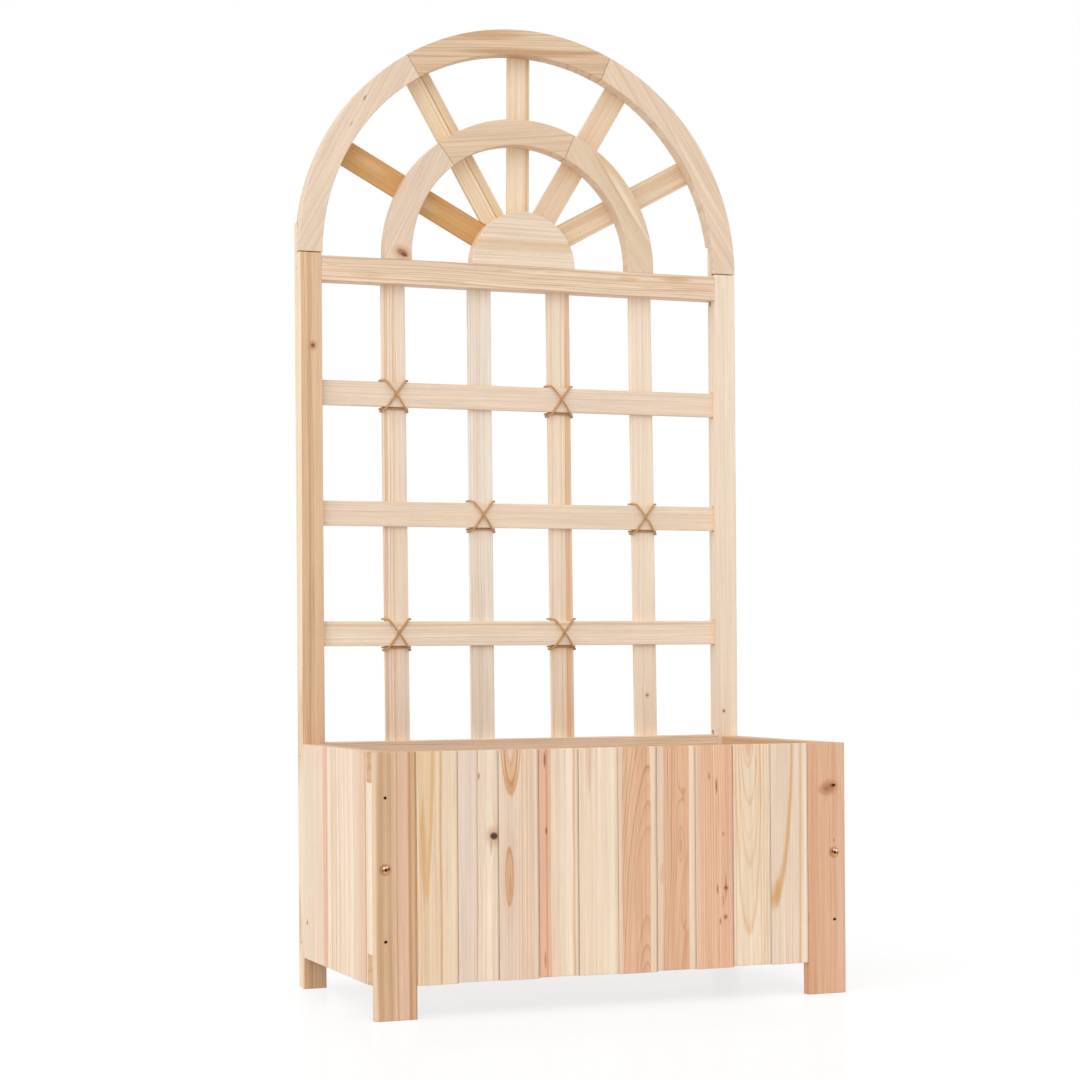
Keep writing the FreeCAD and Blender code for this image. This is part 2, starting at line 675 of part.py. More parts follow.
def leg_fixing_bores(name, side):
    """Bores for the screw and the two brads that go through a leg plank into its corner batten."""
    cutters = screw_bore(f"{name}_screw_bore", "dims.leg_screw_length",
                         leg_fixing_frame(side, "dims.leg_screw_height"))
    for level in ("upper", "lower"):
        cutters.append(brad_bore(f"{name}_{level}_bore", "dims.leg_brad_length",
                                 leg_fixing_frame(side, f"dims.leg_{level}_brad_height")))
    return cutters


def front_frame():
    for name, base in (("front_top_rail", "dims.panel_top - dims.rail_height"),
                       ("front_bottom_rail", BOTTOM_RAIL_BASE)):
        keep(name, board(name, ("dims.overall_width", "dims.front_rail_thick", "dims.rail_height"),
                         (f"-{HALF}", RAIL_FRONT, base)))
    for side in SIDES:
        name = f"corner_batten_{side}"
        corner_x = f"-{HALF}" if side == "left" else POST_INNER
        blank = board(name, ("dims.post_width", "dims.front_rail_thick",
                             f"dims.panel_top - dims.rail_height - {BOTTOM_RAIL_TOP}"),
                      (corner_x, RAIL_FRONT, BOTTOM_RAIL_TOP))
        keep(name, cut(name, blank, leg_fixing_bores(name, side)))


def side_panels():
    length = f"({PLANE} - {RAIL_BACK})"
    width = f"({length} / {SIDE_BOARD_COUNT})"
    faces = {
        "left": frame_at(f"-{HALF}", PLANE, "0", spun("-90")),
        "right": frame_at(HALF, RAIL_BACK, "0", spun("90")),
    }
    for side, face in faces.items():
        name = f"side_boards_{side}"
        boards = []
        for number in range(SIDE_BOARD_COUNT):
            boards.append(tongued_board(f"{name}_{number}", width,
                                        (f"{number} * {width}", "0", "dims.panel_base"), PANEL_HEIGHT, face,
                                        tongue=number > 0, groove=number < SIDE_BOARD_COUNT - 1))
        keep(name, group(name, boards))
        rails = {"top": "dims.panel_top - dims.rail_height", "bottom": BOTTOM_RAIL_BASE}
        for level, base in rails.items():
            rail = f"side_rail_{side}_{level}"
            keep(rail, board(rail, (length, "dims.side_rail_thick", "dims.rail_height"),
                             ("0", "dims.panel_thick", base), face))


def back_boards():
    face = frame_at(POST_INNER, POST_BACK, "0", spun("180"))
    width = f"(2 * {POST_INNER} / {BACK_BOARD_COUNT})"
    height = f"({BACK_RAIL_BASE} + dims.back_rabbet - dims.board_seam - dims.panel_base)"
    boards = [tongued_board(f"back_board_{number}", width, (f"{number} * {width}", "0", "dims.panel_base"),
                            height, face, tongue=number > 0, groove=number < BACK_BOARD_COUNT - 1)
              for number in range(BACK_BOARD_COUNT)]
    keep("back_boards", group("back_boards", boards))


def floor_boards():
    """Slatted floor from the front boards to the back boards, on the two bottom rails."""
    span = f"(2 * ({POST_INNER} - dims.floor_play))"
    width = f"(({span} - {FLOOR_BOARD_COUNT - 1} * dims.floor_gap) / {FLOOR_BOARD_COUNT})"
    start = f"({RAIL_FRONT} + dims.floor_play)"
    length = f"({POST_BACK} - dims.panel_thick - dims.floor_play - {start})"
    boards = [board(f"floor_board_{number}", (width, length, "dims.floor_thick"),
                    (f"{number} * ({width} + dims.floor_gap) - {span} / 2", start, BOTTOM_RAIL_TOP))
              for number in range(FLOOR_BOARD_COUNT)]
    keep("floor_boards", group("floor_boards", boards))


# ---------------------------------------------------------------- fastener nodes
def fasteners():
    dowels = [rail_dowel(rod, f"dowel_{where}", where) for where in TOP_RAIL_DOWELS]
    dowels += [joint_dowel(rod, f"dowel_{where}", where) for where in JOINT_DOWELS]
    keep("arch_dowels", group("arch_dowels", dowels))
    brads = [brad(f"brad_{side}_{rail}", "dims.brad_length", rail_brad_frame(side, rail))
             for side in SIDES for rail in POST_RAILS]
    brads += [brad(f"brad_{side}_leg_{level}", "dims.leg_brad_length",
                   leg_fixing_frame(side, f"dims.leg_{level}_brad_height"))
              for side in SIDES for level in ("upper", "lower")]
    keep("frame_brads", group("frame_brads", brads))
    keep("spoke_brads", group("spoke_brads", [spoke_brad(brad, f"brad_{spoke}_{where}", spoke, where)
                                              for spoke in SPOKES for where in SPOKE_BRAD_REACH]))
    keep("leg_screws", group("leg_screws", [
        screw(f"leg_screw_{side}", "dims.leg_screw_length", leg_fixing_frame(side, "dims.leg_screw_height"))
        for side in SIDES]))
    keep("lap_screws", group("lap_screws", [
        screw(f"lap_screw_{side}_{number}", "dims.lap_screw_length", lap_screw_frame(side, height))
        for side in SIDES for number, height in enumerate(LAP_SCREW_HEIGHTS)]))


# ---------------------------------------------------------------- lashings
def lashing_route():
    """Corner points of one lashing; the origin is where bar and slat touch, X right, Y back, Z up.

    The twine comes round the slat's upper right edge, crosses the bar's face to the lower left,
    goes behind the slat, across it just below the bar, behind it again, and crosses the bar's face
    the other way, over its own first crossing, to the upper left.
    """
    half = dims.lattice_width / 2
    reach = dims.twine_radius + dims.twine_gap
    pitch = 2 * dims.twine_radius + dims.twine_turn_gap
    edge = half + reach                          # beside the slat, and just past the bar's edge
    face = -reach                                # on the slat's face
    over = -dims.lattice_thick - reach           # on the bar's face
    hump = over - pitch                          # on the bar's face, over the first crossing
    behind = dims.lattice_thick + reach          # behind the slat
    behind_2 = behind + pitch                    # behind the slat, over the first layer
    level = edge + pitch / 3                     # the diagonals' upper ends
    lower = edge + pitch + dims.twine_turn_gap   # their lower ends, under the straight strand
    turn_x = 0.8 * half                          # where a diagonal meets the bar's edge
    tail = half / 2
    return [
        (-tail, behind, level - pitch / 2),
        (edge, behind, level),
        (edge, face, level),
        (turn_x, over, edge),
        (-turn_x, over, -edge),
        (-edge, face, -lower),
        (-edge, behind, -lower),
        (edge, behind, -edge),
        (edge, face, -edge),
        (-edge, face, -edge),
        (-edge, behind_2, -edge),
        (edge, behind_2, -lower),
        (edge, face, -lower),
        (turn_x, over, -edge),
        (turn_x / 3, hump, -edge / 3),
        (-turn_x / 3, hump, edge / 3),
        (-turn_x, over, edge),
        (-edge, face, level),
        (-edge, behind_2, level),
        (tail, behind_2, level + pitch / 2),
    ]


def rounded_path(points, radius):
    """Straight runs with a tangent arc of the given radius, or as large as fits, at each corner."""
    points = [FreeCAD.Vector(*point) for point in points]
    edges = []
    start = points[0]
    radii = []
    for before, corner, after in zip(points, points[1:], points[2:]):
        arriving = (corner - before).normalize()
        leaving = (after - corner).normalize()
        half_turn = arriving.getAngle(leaving) / 2
        run = min((corner - before).Length, (after - corner).Length)
        bend = min(radius, 0.48 * run / math.tan(half_turn))
        setback = bend * math.tan(half_turn)
        arc_start = corner - arriving * setback
        arc_end = corner + leaving * setback
        inward = (leaving - arriving).normalize()
        arc_middle = corner + inward * (bend / math.cos(half_turn) - bend)
        edges.append(Part.LineSegment(start, arc_start).toShape())
        edges.append(Part.Arc(arc_start, arc_middle, arc_end).toShape())
        radii.append(bend)
        start = arc_end
    edges.append(Part.LineSegment(start, points[-1]).toShape())
    return Part.Wire(edges), radii


def least_gap(path, diameter):
    """Clear distance between stretches of the path that lie apart along it."""
    step = diameter / 6
    points = path.discretize(Distance=step)
    apart = int(3 * diameter / step)
    nearest = min((points[first] - points[second]).Length
                  for first in range(len(points)) for second in range(first + apart, len(points)))
    return nearest - diameter


def lashings():
    diameter = 2 * dims.twine_radius
    path, radii = rounded_path(lashing_route(), diameter)
    first = path.Edges[0]
    heading = first.tangentAt(first.FirstParameter)
    ring = Part.Wire(Part.Circle(first.valueAt(first.FirstParameter), heading, dims.twine_radius).toShape())
    tube = path.makePipeShell([ring], True, False)
    gap = least_gap(path, diameter)
    ratio = tube.Volume / (math.pi * dims.twine_radius ** 2 * path.Length)
    print(f"lashing: {path.Length:.1f} mm of twine, least radius {min(radii):.2f}, "
          f"least gap to itself {gap:.2f}, volume to section times length {ratio:.4f}")
    front = -(dims.box_depth + dims.ring_thick + dims.spoke_thick) / 2
    contact = front + dims.box_depth + dims.bar_front + dims.lattice_thick
    top_rail_base = dims.post_height - dims.top_rail_drop - dims.top_rail_height
    middle = (dims.back_rail_top + top_rail_base) / 2
    for bar, slat in LASHED:
        height = dims.get(f"{bar}_bar_height")
        lean = math.radians(dims.get(f"{slat}_lean"))
        across = dims.get(f"{slat}_across") + (height - middle) * math.tan(lean)
        item = new("Feature", f"twine_{bar}_{slat}")
        item.Shape = tube
        item.Placement.Base = FreeCAD.Vector(across, contact, height)
        keep(item.Name, item)


# ---------------------------------------------------------------- build, check, write
def build():
    for side in SIDES:
        post(side)
    top_rail()
    back_rails()
    lattice()
    arches()
    hub()
    spokes()
    front()
    front_frame()
    side_panels()
    back_boards()
    floor_boards()
    fasteners()
    lashings()
    doc.recompute()


def check():
    for item in doc.Objects:
        if {"Invalid", "Error"} & set(item.State):
            raise RuntimeError(f"{item.Label} failed: {item.State}")
    for label, item in nodes.items():
        if item.Shape.isNull() or not item.Shape.isValid() or not item.Shape.Solids:
            raise RuntimeError(f"{label} has no valid solid")


build()
check()
for label, item in nodes.items():
    item.Shape.exportStep(f"parts/{label}.step")
print(f"{len(nodes)} sub-parts, {sum(len(item.Shape.Solids) for item in nodes.values())} solids")
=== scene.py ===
"""Looks of a wooden planter with a trellis: pine boards, tied twine, screws and a white studio.

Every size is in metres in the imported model's frame. Grain is laid out in millimetres on each board.
"""

import math
import random

import bpy
from mathutils import Matrix, Vector


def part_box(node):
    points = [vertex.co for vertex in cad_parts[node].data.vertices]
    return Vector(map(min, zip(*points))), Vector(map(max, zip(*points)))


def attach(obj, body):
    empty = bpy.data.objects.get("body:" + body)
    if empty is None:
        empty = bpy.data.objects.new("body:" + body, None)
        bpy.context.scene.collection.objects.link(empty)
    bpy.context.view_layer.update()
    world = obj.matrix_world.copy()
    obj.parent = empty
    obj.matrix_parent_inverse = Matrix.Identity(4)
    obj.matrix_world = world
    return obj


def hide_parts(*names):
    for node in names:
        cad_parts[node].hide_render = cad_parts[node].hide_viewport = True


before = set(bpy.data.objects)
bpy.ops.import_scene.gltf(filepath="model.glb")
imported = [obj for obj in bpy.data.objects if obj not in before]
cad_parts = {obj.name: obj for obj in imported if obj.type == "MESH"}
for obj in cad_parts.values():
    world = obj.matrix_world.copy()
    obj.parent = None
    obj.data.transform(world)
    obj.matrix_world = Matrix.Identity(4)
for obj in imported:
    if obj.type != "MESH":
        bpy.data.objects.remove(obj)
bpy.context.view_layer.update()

MM = 0.001
RIGHTWARD = Vector((1, 0, 0))
LEFTWARD = Vector((-1, 0, 0))
FRONTWARD = Vector((0, -1, 0))
BACKWARD = Vector((0, 1, 0))
Z_UP = Vector((0, 0, 1))

# ---------------------------------------------------------------- camera, as measured from the photograph
CAMERA_PLACE = (-1.17565, -2.94083, 0.43836)
CAMERA_YAW = 21.045
CAMERA_PITCH = 0.039
CAMERA_ROLL = -0.402
IMAGE_SIDE = 1080
FOCAL_PIXELS = 2399.47
CENTRE_PIXEL = (534.87, 655.82)
SENSOR = 36.0

# ---------------------------------------------------------------- wood colours, 0 to 255 as seen on the front
PALE = (246, 229, 206)
CREAM = (238, 216, 190)
BEIGE = (232, 206, 178)
GREIGE = (229, 206, 186)
PINKISH = (229, 199, 176)
TAN = (222, 188, 152)
SALMON = (227, 178, 143)
ROSY = (219, 165, 130)
GOLD = (220, 172, 120)
AMBER = (208, 150, 98)
RUST = (176, 112, 76)
UMBER = (128, 84, 60)
KNOT = (62, 38, 34)
# the colour of the painted shade beside board seams, and of the glue lines between arch pieces
SEAM_BROWN = (112, 76, 54)


def linear(colour):
    """A colour of 0 to 255 as a shader takes it."""
    out = []
    for value in colour:
        share = value / 255
        out.append(share / 12.92 if share <= 0.04045 else ((share + 0.055) / 1.055) ** 2.4)
    return (*out, 1.0)


# wood, in millimetres where it is a length
SEAM_SHADE = 1.0                 # the width of the shade beside a seam between boards
SEAM_SHARE = 0.35                # how dark that shade is, unless a board says otherwise
JOINT_LINE = 0.7                 # half the width of a glue line between arch pieces
JOINT_SHARE = 0.7
HAIR_SHARE = 0.85                # how strongly the finest lines show beside the ring lines
HEART_SOFT = 4.0                 # half the width over which heartwood fades into sapwood
RING_WANDER = 3.4                # by how many rings their spacing strays
RING_SHARPNESS = 3.4             # how late in a year its dark line begins
BULGE_SPREAD = -0.11             # how soon a mark's push on the rings dies away


# ---------------------------------------------------------------- small node helpers
class Tree:
    """Adds nodes to a node tree and links them."""

    def __init__(self, tree):
        self.tree = tree

    def feed(self, socket, value):
        if isinstance(value, bpy.types.NodeSocket):
            self.tree.links.new(value, socket)
        elif value is not None:
            socket.default_value = value

    def node(self, kind, inputs=(), **settings):
        made = self.tree.nodes.new(kind)
        for name, value in settings.items():
            setattr(made, name, value)
        for key, value in dict(inputs).items():
            self.feed(made.inputs[key], value)
        return made

    def group(self, group, inputs):
        return self.node("ShaderNodeGroup", inputs, node_tree=group).outputs

    def math(self, operation, first, second=None, third=None, clamp=False):
        made = self.node("ShaderNodeMath", operation=operation, use_clamp=clamp)
        for socket, value in zip(made.inputs, (first, second, third)):
            self.feed(socket, value)
        return made.outputs[0]

    def plus(self, first, second):
        return self.math("ADD", first, second)

    def minus(self, first, second):
        return self.math("SUBTRACT", first, second)

    def times(self, first, second):
        return self.math("MULTIPLY", first, second)

    def vector(self, operation, first, second):
        made = self.node("ShaderNodeVectorMath", {0: first, 1: second}, operation=operation)
        return made.outputs[0]

    def scaled(self, vector, factor):
        made = self.node("ShaderNodeVectorMath", {0: vector, "Scale": factor}, operation="SCALE")
        return made.outputs[0]

    def split(self, vector):
        return self.node("ShaderNodeSeparateXYZ", {"Vector": vector}).outputs

    def joined(self, x, y, z):
        return self.node("ShaderNodeCombineXYZ", {"X": x, "Y": y, "Z": z}).outputs[0]

    def noise(self, vector, stretch, detail=2.0, rough=0.5, colour=False):
        spread = self.vector("MULTIPLY", vector, stretch)
        made = self.node("ShaderNodeTexNoise", {"Vector": spread, "Scale": 1.0, "Detail": detail,
                                                "Roughness": rough})
        return made.outputs["Color" if colour else "Fac"]

    def around_one(self, noise, share):
        """A noise of 0 to 1 as a factor that strays from 1."""
        return self.math("MULTIPLY_ADD", self.minus(noise, 0.5), share, 1.0)

    def step(self, value, low, high):
        """0 below low, 1 above high."""
        made = self.node("ShaderNodeMapRange", {"Value": value, "From Min": low, "From Max": high},
                         interpolation_type="SMOOTHSTEP")
        return made.outputs["Result"]

    def fade(self, value, low, high):
        """1 below low, 0 above high."""
        return self.minus(1.0, self.step(value, low, high))

    def mix(self, factor, first, second):
        made = self.node("ShaderNodeMix", data_type="RGBA")
        self.feed(made.inputs[0], factor)
        self.feed(made.inputs[6], first)
        self.feed(made.inputs[7], second)
        return made.outputs[2]

    def millimetres(self):
        """The place on the part, in millimetres."""
        return self.scaled(self.node("ShaderNodeTexCoord").outputs["Object"], 1 / MM)


def new_material(name):
    """An empty material and the tree to fill."""
    material = bpy.data.materials.new(name)
    material.use_nodes = True
    material.node_tree.nodes.clear()
    return material, Tree(material.node_tree)


def new_group(name, inputs, outputs):
    """A shader node group with the named sockets, and its two end nodes."""
    group = bpy.data.node_groups.new(name, "ShaderNodeTree")
    for label, kind in inputs:
        group.interface.new_socket(label, in_out="INPUT", socket_type="NodeSocket" + kind)
    for label, kind in outputs:
        group.interface.new_socket(label, in_out="OUTPUT", socket_type="NodeSocket" + kind)
    tree = Tree(group)
    start = tree.node("NodeGroupInput").outputs
    end = tree.node("NodeGroupOutput").inputs
    return group, tree, start, end


# ---------------------------------------------------------------- wood groups
def sway_group():
    """Bends a board's grain: the board's place in, the place in the grain out."""
    group, t, start, end = new_group(
        "sway", [("Place", "Vector"), ("Seed", "Float"), ("Sway", "Float")], [("Grain", "Vector")])
    place = t.vector("ADD", start["Place"], t.scaled((37.7, 211.3, 17.9), start["Seed"]))
    slow = t.noise(place, (1 / 70, 1 / 260, 1 / 70), 1.0, colour=True)
    quick = t.noise(place, (1 / 14, 1 / 75, 1 / 14), 2.0, colour=True)
    slow = t.scaled(t.vector("SUBTRACT", slow, (0.5, 0.5, 0.5)), 2.4)
    quick = t.scaled(t.vector("SUBTRACT", quick, (0.5, 0.5, 0.5)), 0.42)
    bend = t.scaled(t.vector("ADD", slow, quick), start["Sway"])
    bend = t.vector("MULTIPLY", bend, (1.0, 0.0, 1.0))
    t.feed(end["Grain"], t.vector("ADD", start["Place"], bend))
    return group


MARK_SIZES = ("across", "along", "half_width", "half_length", "soft", "roundness")


def spot_group():
    """A soft-edged ellipse on a board's face: 1 inside, 0 outside, and the wide bulge round it."""
    group, t, start, end = new_group(
        "spot", [("Grain", "Vector"), *((size, "Float") for size in MARK_SIZES)],
        [("Mask", "Float"), ("Bulge", "Float")])
    place = t.split(start["Grain"])
    across = t.math("DIVIDE", t.minus(place["X"], start["across"]), start["half_width"])
    along = t.math("DIVIDE", t.minus(place["Y"], start["along"]), start["half_length"])
    long_square = t.times(along, along)
    square = t.plus(t.times(across, across), long_square)
    bowed = t.math("POWER", t.math("ABSOLUTE", across), t.plus(start["roundness"], 1.0))
    reach = t.math("SQRT", t.plus(bowed, long_square))
    low = t.minus(1.0, start["soft"])
    high = t.plus(1.0, start["soft"])
    t.feed(end["Mask"], t.fade(reach, low, high))
    t.feed(end["Bulge"], t.math("EXPONENT", t.times(square, BULGE_SPREAD)))
    return group


def grain_group():
    """Pine: growth rings about a pith beside the board, heartwood inside, fibres along it."""
    group, t, start, end = new_group(
        "grain",
        [("Place", "Vector"), ("Grain", "Vector"), ("Seed", "Float"), ("Pith across", "Float"),
         ("Pith behind", "Float"), ("Lean", "Float"), ("Pitch", "Float"), ("Push", "Float"),
         ("Heart radius", "Float"), ("Sap", "Color"), ("Heart", "Color"), ("Late", "Color"),
         ("Lines", "Float"), ("Tint", "Color"), ("Tinted", "Float")],
        [("Colour", "Color"), ("Late", "Float"), ("Height", "Float"), ("Shade", "Float")])
    # the place among the growth rings
    place = t.split(start["Grain"])
    across = t.minus(place["X"], start["Pith across"])
    behind = t.minus(place["Z"], start["Pith behind"])
    behind = t.minus(behind, t.times(place["Y"], start["Lean"]))
    square = t.plus(t.times(across, across), t.times(behind, behind))
    radius = t.plus(t.math("SQRT", square), start["Push"])
    rings = t.math("DIVIDE", radius, start["Pitch"])
    seeded = t.plus(rings, t.times(start["Seed"], 91.7))
    spread = t.node("ShaderNodeTexNoise", {"W": t.times(seeded, 0.23), "Scale": 1.0,
                                           "Detail": 1.0}, noise_dimensions="1D").outputs["Fac"]
    rings = t.plus(seeded, t.times(spread, RING_WANDER))
    # each year's dark line rises slowly and ends at once
    turn = t.math("FRACT", rings)
    late = t.times(t.math("POWER", turn, RING_SHARPNESS), t.fade(turn, 0.9, 1.0))
    own = t.node("ShaderNodeTexWhiteNoise", {"W": t.math("FLOOR", rings)},
                 noise_dimensions="1D").outputs["Value"]
    late = t.times(late, t.math("MULTIPLY_ADD", own, 1.5, 0.45))

    shift = t.scaled((53.0, 97.0, 31.0), start["Seed"])
    shifted = t.vector("ADD", start["Place"], shift)
    fibres = t.noise(shifted, (2.1, 1 / 16, 2.1), 3.0, 0.65)
    strands = t.noise(shifted, (1 / 2.6, 1 / 150, 1 / 2.6), 2.0, 0.6)
    clouds = t.noise(shifted, (1 / 26, 1 / 140, 1 / 26), 2.0, 0.55)
    pores = t.noise(shifted, (3.2, 1 / 5, 3.2), 1.0, 0.5)
    bent = t.vector("ADD", start["Grain"], t.vector("SUBTRACT", shifted, start["Place"]))
    hairs = t.step(t.noise(bent, (1 / 1.7, 1 / 190, 1 / 1.7), 2.0, 0.55), 0.56, 0.72)
    strips = t.step(t.noise(bent, (1 / 9, 1 / 1400, 1 / 9), 1.0), 0.42, 0.66)

    edge = t.plus(radius, t.times(t.minus(clouds, 0.5), 5.0))
    low = t.minus(start["Heart radius"], HEART_SOFT)
    high = t.plus(start["Heart radius"], HEART_SOFT)
    colour = t.mix(t.step(edge, low, high), start["Heart"], start["Sap"])
    colour = t.mix(t.times(strips, start["Tinted"]), colour, start["Tint"])
    colour = t.mix(t.math("MULTIPLY", late, start["Lines"], clamp=True), colour, start["Late"])
    colour = t.mix(t.times(hairs, t.times(start["Lines"], HAIR_SHARE)), colour, start["Late"])
    shade = t.around_one(fibres, 0.26)
    shade = t.times(shade, t.around_one(strands, 0.34))
    shade = t.times(shade, t.around_one(clouds, 0.12))
    shade = t.minus(shade, t.times(t.step(pores, 0.66, 0.8), 0.07))
    t.feed(end["Colour"], t.scaled(colour, shade))
    t.feed(end["Late"], late)
    t.feed(end["Shade"], shade)
    t.feed(end["Height"], t.plus(t.times(fibres, 0.6), t.times(late, 0.5)))
    return group


SWAY = sway_group()
SPOT = spot_group()
GRAIN = grain_group()


# ---------------------------------------------------------------- marks on a board
# A board's own axes are across (u), along (v) and out of its best face (w).
def band(across, half_width, colour, amount=0.8, along=0.0, half_length=4000.0, soft=0.35, push=0.0,
         roundness=1.0):
    """A stripe along the grain."""
    return dict(across=across, along=along, half_width=half_width, half_length=half_length,
                soft=soft, colour=colour, amount=amount, push=push, roundness=roundness)


def streak(across, half_width, colour, amount):
    """A thin stripe that fades to its sides."""
    return band(across, half_width, colour, amount, soft=0.8)


def tongue(across, along, half_width, half_length, colour, amount=0.85, soft=0.25, push=0.0):
    """A long pointed patch."""
    return band(across, half_width, colour, amount, along, half_length, soft, push, 0.0)


def blob(across, along, half_width, half_length, colour, amount=0.85, soft=0.25, push=0.0):
    """A rounded patch."""
    return band(across, half_width, colour, amount, along, half_length, soft, push)


def knot(across, along, size, core=KNOT, halo=GOLD, push=3.0):
    """A small branch end: a dark middle in a warm halo, with the rings pushed round it."""
    return [blob(across, along, size * 2.0, size * 2.4, halo, 0.6, 0.6, push),
            blob(across, along, size * 1.1, size * 1.05, UMBER, 0.8, 0.25),
            blob(across, along, size * 0.85, size * 0.75, core, 0.9, 0.25)]


def fleck(across, along, length, width=0.9, colour=UMBER, amount=0.85):
    """A thin resin streak."""
    return [tongue(across, along, width, length / 2, colour, amount, 0.5, 0.4)]


def spot(t, place, mark):
    """The mask and the bulge of a mark."""
    return t.group(SPOT, {"Grain": place, **{size: mark[size] for size in MARK_SIZES}})


# ---------------------------------------------------------------- boards
def board_place(t, centre, along, face):
    """Millimetres across, along and out of a board's best face, from its middle."""
    across = along.cross(face)
    turn = Matrix((across, along, face))
    origin = -(turn @ centre) / MM
    place = t.node("ShaderNodeTexCoord").outputs["Object"]
    return t.node("ShaderNodeMapping", {"Vector": place, "Location": origin, "Rotation": turn.to_euler(),
                                        "Scale": (1 / MM,) * 3}).outputs[0]


def own_boards(t, place, panel, seed):
    """Gives each board of a panel its own grain, and finds how near its edge is: panel is (board
    width, first edge)."""
    width, first = panel
    turn = t.math("DIVIDE", t.minus(t.split(place)["X"], first), width)
    count = t.math("FLOOR", turn)
    jump = t.node("ShaderNodeTexWhiteNoise", {"W": t.plus(count, seed)},
                  noise_dimensions="1D").outputs["Value"]
    moved = t.joined(0.0, t.times(jump, 900.0), t.times(jump, 14.0))
    off = t.math("ABSOLUTE", t.minus(turn, t.math("ROUND", turn)))
    seam = t.times(off, width)
    return t.vector("ADD", place, moved), t.plus(t.times(count, 1.7), seed), seam


def joint_lines(t, colour, joints):
    """Darkens the glue lines that run outward from (x, z) at the given angles, in millimetres."""
    (middle_x, middle_z), angles = joints
    place = t.split(t.millimetres())
    right = t.minus(place["X"], middle_x)
    up = t.minus(place["Z"], middle_z)
    for angle in angles:
        turned = math.radians(angle)
        off = t.minus(t.times(up, math.cos(turned)), t.times(right, math.sin(turned)))
        near = t.fade(t.math("ABSOLUTE", off), 0.2, JOINT_LINE)
        colour = t.mix(t.times(near, JOINT_SHARE), colour, linear(SEAM_BROWN))
    return colour


def wood(name, centre, along, face, sap=CREAM, heart=SALMON, late=GOLD, lines=0.5, pitch=2.6,
         pith=(140.0, -30.0), lean=0.0, heart_radius=-50.0, sway=2.4, marks=(), seed=0.0, panel=None,
         tint=PINKISH, tinted=0.5, edges=0.0, seam_share=SEAM_SHARE, joints=None):
    """A pine material for one board, or for a panel of boards."""
    material, t = new_material("wood_" + name)
    face_place = board_place(t, centre, along, face)
    place = face_place
    seam = None
    if panel:
        place, seed, seam = own_boards(t, face_place, panel, seed)
    if edges:
        seam = t.minus(edges, t.math("ABSOLUTE", t.split(face_place)["X"]))
    grain = t.group(SWAY, {"Place": place, "Seed": seed, "Sway": sway})["Grain"]
    drawn = grain
    if panel:
        drawn = t.vector("ADD", face_place, t.vector("SUBTRACT", grain, place))

    spots = [(spot(t, drawn, mark), mark) for mark in marks]
    push = 0.0
    for found, mark in spots:
        if mark["push"]:
            push = t.plus(push, t.times(found["Bulge"], mark["push"]))
    rings = t.group(GRAIN, {
        "Place": place, "Grain": grain, "Seed": seed, "Pith across": pith[0], "Pith behind": pith[1],
        "Lean": lean, "Pitch": pitch, "Push": push, "Heart radius": heart_radius, "Sap": linear(sap),
        "Heart": linear(heart), "Late": linear(late), "Lines": lines, "Tint": linear(tint),
        "Tinted": tinted})
    colour = rings["Colour"]
    for found, mark in spots:
        ink = t.vector("MULTIPLY", rings["Shade"], linear(mark["colour"])[:3])
        colour = t.mix(t.times(found["Mask"], mark["amount"]), colour, ink)
    # painted shade beside the seams between boards
    if seam is not None:
        near = t.fade(seam, SEAM_SHADE * 0.3, SEAM_SHADE)
        colour = t.mix(t.times(near, seam_share), colour, linear(SEAM_BROWN))
    if joints:
        colour = joint_lines(t, colour, joints)

    rough = t.math("MULTIPLY_ADD", rings["Late"], -0.12, 0.62)
    bump = t.node("ShaderNodeBump", {"Height": rings["Height"], "Strength": 0.12,
                                     "Distance": 0.25 * MM}).outputs[0]
    shader = t.node("ShaderNodeBsdfPrincipled", {"Base Color": colour, "Roughness": rough,
                                                 "Normal": bump, "Specular IOR Level": 0.32})
    t.node("ShaderNodeOutputMaterial", {"Surface": shader.outputs[0]})
    return material


def centre_of(node):
    low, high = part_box(node)
    return (low + high) / 2


def above_middle(board, height):
    """How far above a board's middle a height above the floor lies."""
    return height - centre_of(board).z / MM


def dress(node, material):
    """Gives a CAD node its material in the slots it already has."""
    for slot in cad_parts[node].material_slots:
        slot.material = material


def dress_board(node, along, face, **looks):
    dress(node, wood(node, centre_of(node), along, face, **looks))


def dress_panel(node, along, face, board, **looks):
    """A panel of boards side by side: the first edge lies half the panel from its middle."""
    low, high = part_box(node)
    reach = abs(along.cross(face).dot(high - low)) / MM
    dress(node, wood(node, centre_of(node), along, face, panel=(board, -reach / 2), **looks))


# ---------------------------------------------------------------- the front panel
# Places on a board are millimetres from its middle: across to the right, along upwards.
# the colour of the painted shade in a sunk brad's hole
BRAD_PAINTED_SHADE = (30, 22, 20)


def brad_hole(across, along):
    """Painted shade in the dark mouth of a sunk brad's hole."""
    return blob(across, along, 1.9, 1.9, BRAD_PAINTED_SHADE, 0.96, 0.3)


# the tips of the nested figure on board 9: height, half width, length, thickness and strength
NESTED_TIPS = ((-100, 17.5, 190, 7.5, 0.8), (-14, 15.0, 150, 6.5, 0.6), (20, 12.5, 120, 4.0, 0.35),
               (64, 12.0, 100, 5.5, 0.6), (112, 9.0, 60, 5.0, 0.5))
TIP_COLOUR = (224, 172, 116)
TIP_INSIDE = (238, 216, 189)


def nested_tips(across, drift):
    """Rounded tips one inside the other, each a warm shape with a paler one set a little higher."""
    marks = []
    for order, (height, half_width, length, thick, share) in enumerate(NESTED_TIPS):
        middle = across + drift * (order % 2)
        marks.append(blob(middle, height + length, half_width, length, TIP_COLOUR, share, 0.05))
        marks.append(blob(middle, height + length + thick, half_width - 1.2, length, TIP_INSIDE, 0.9, 0.07))
    return marks


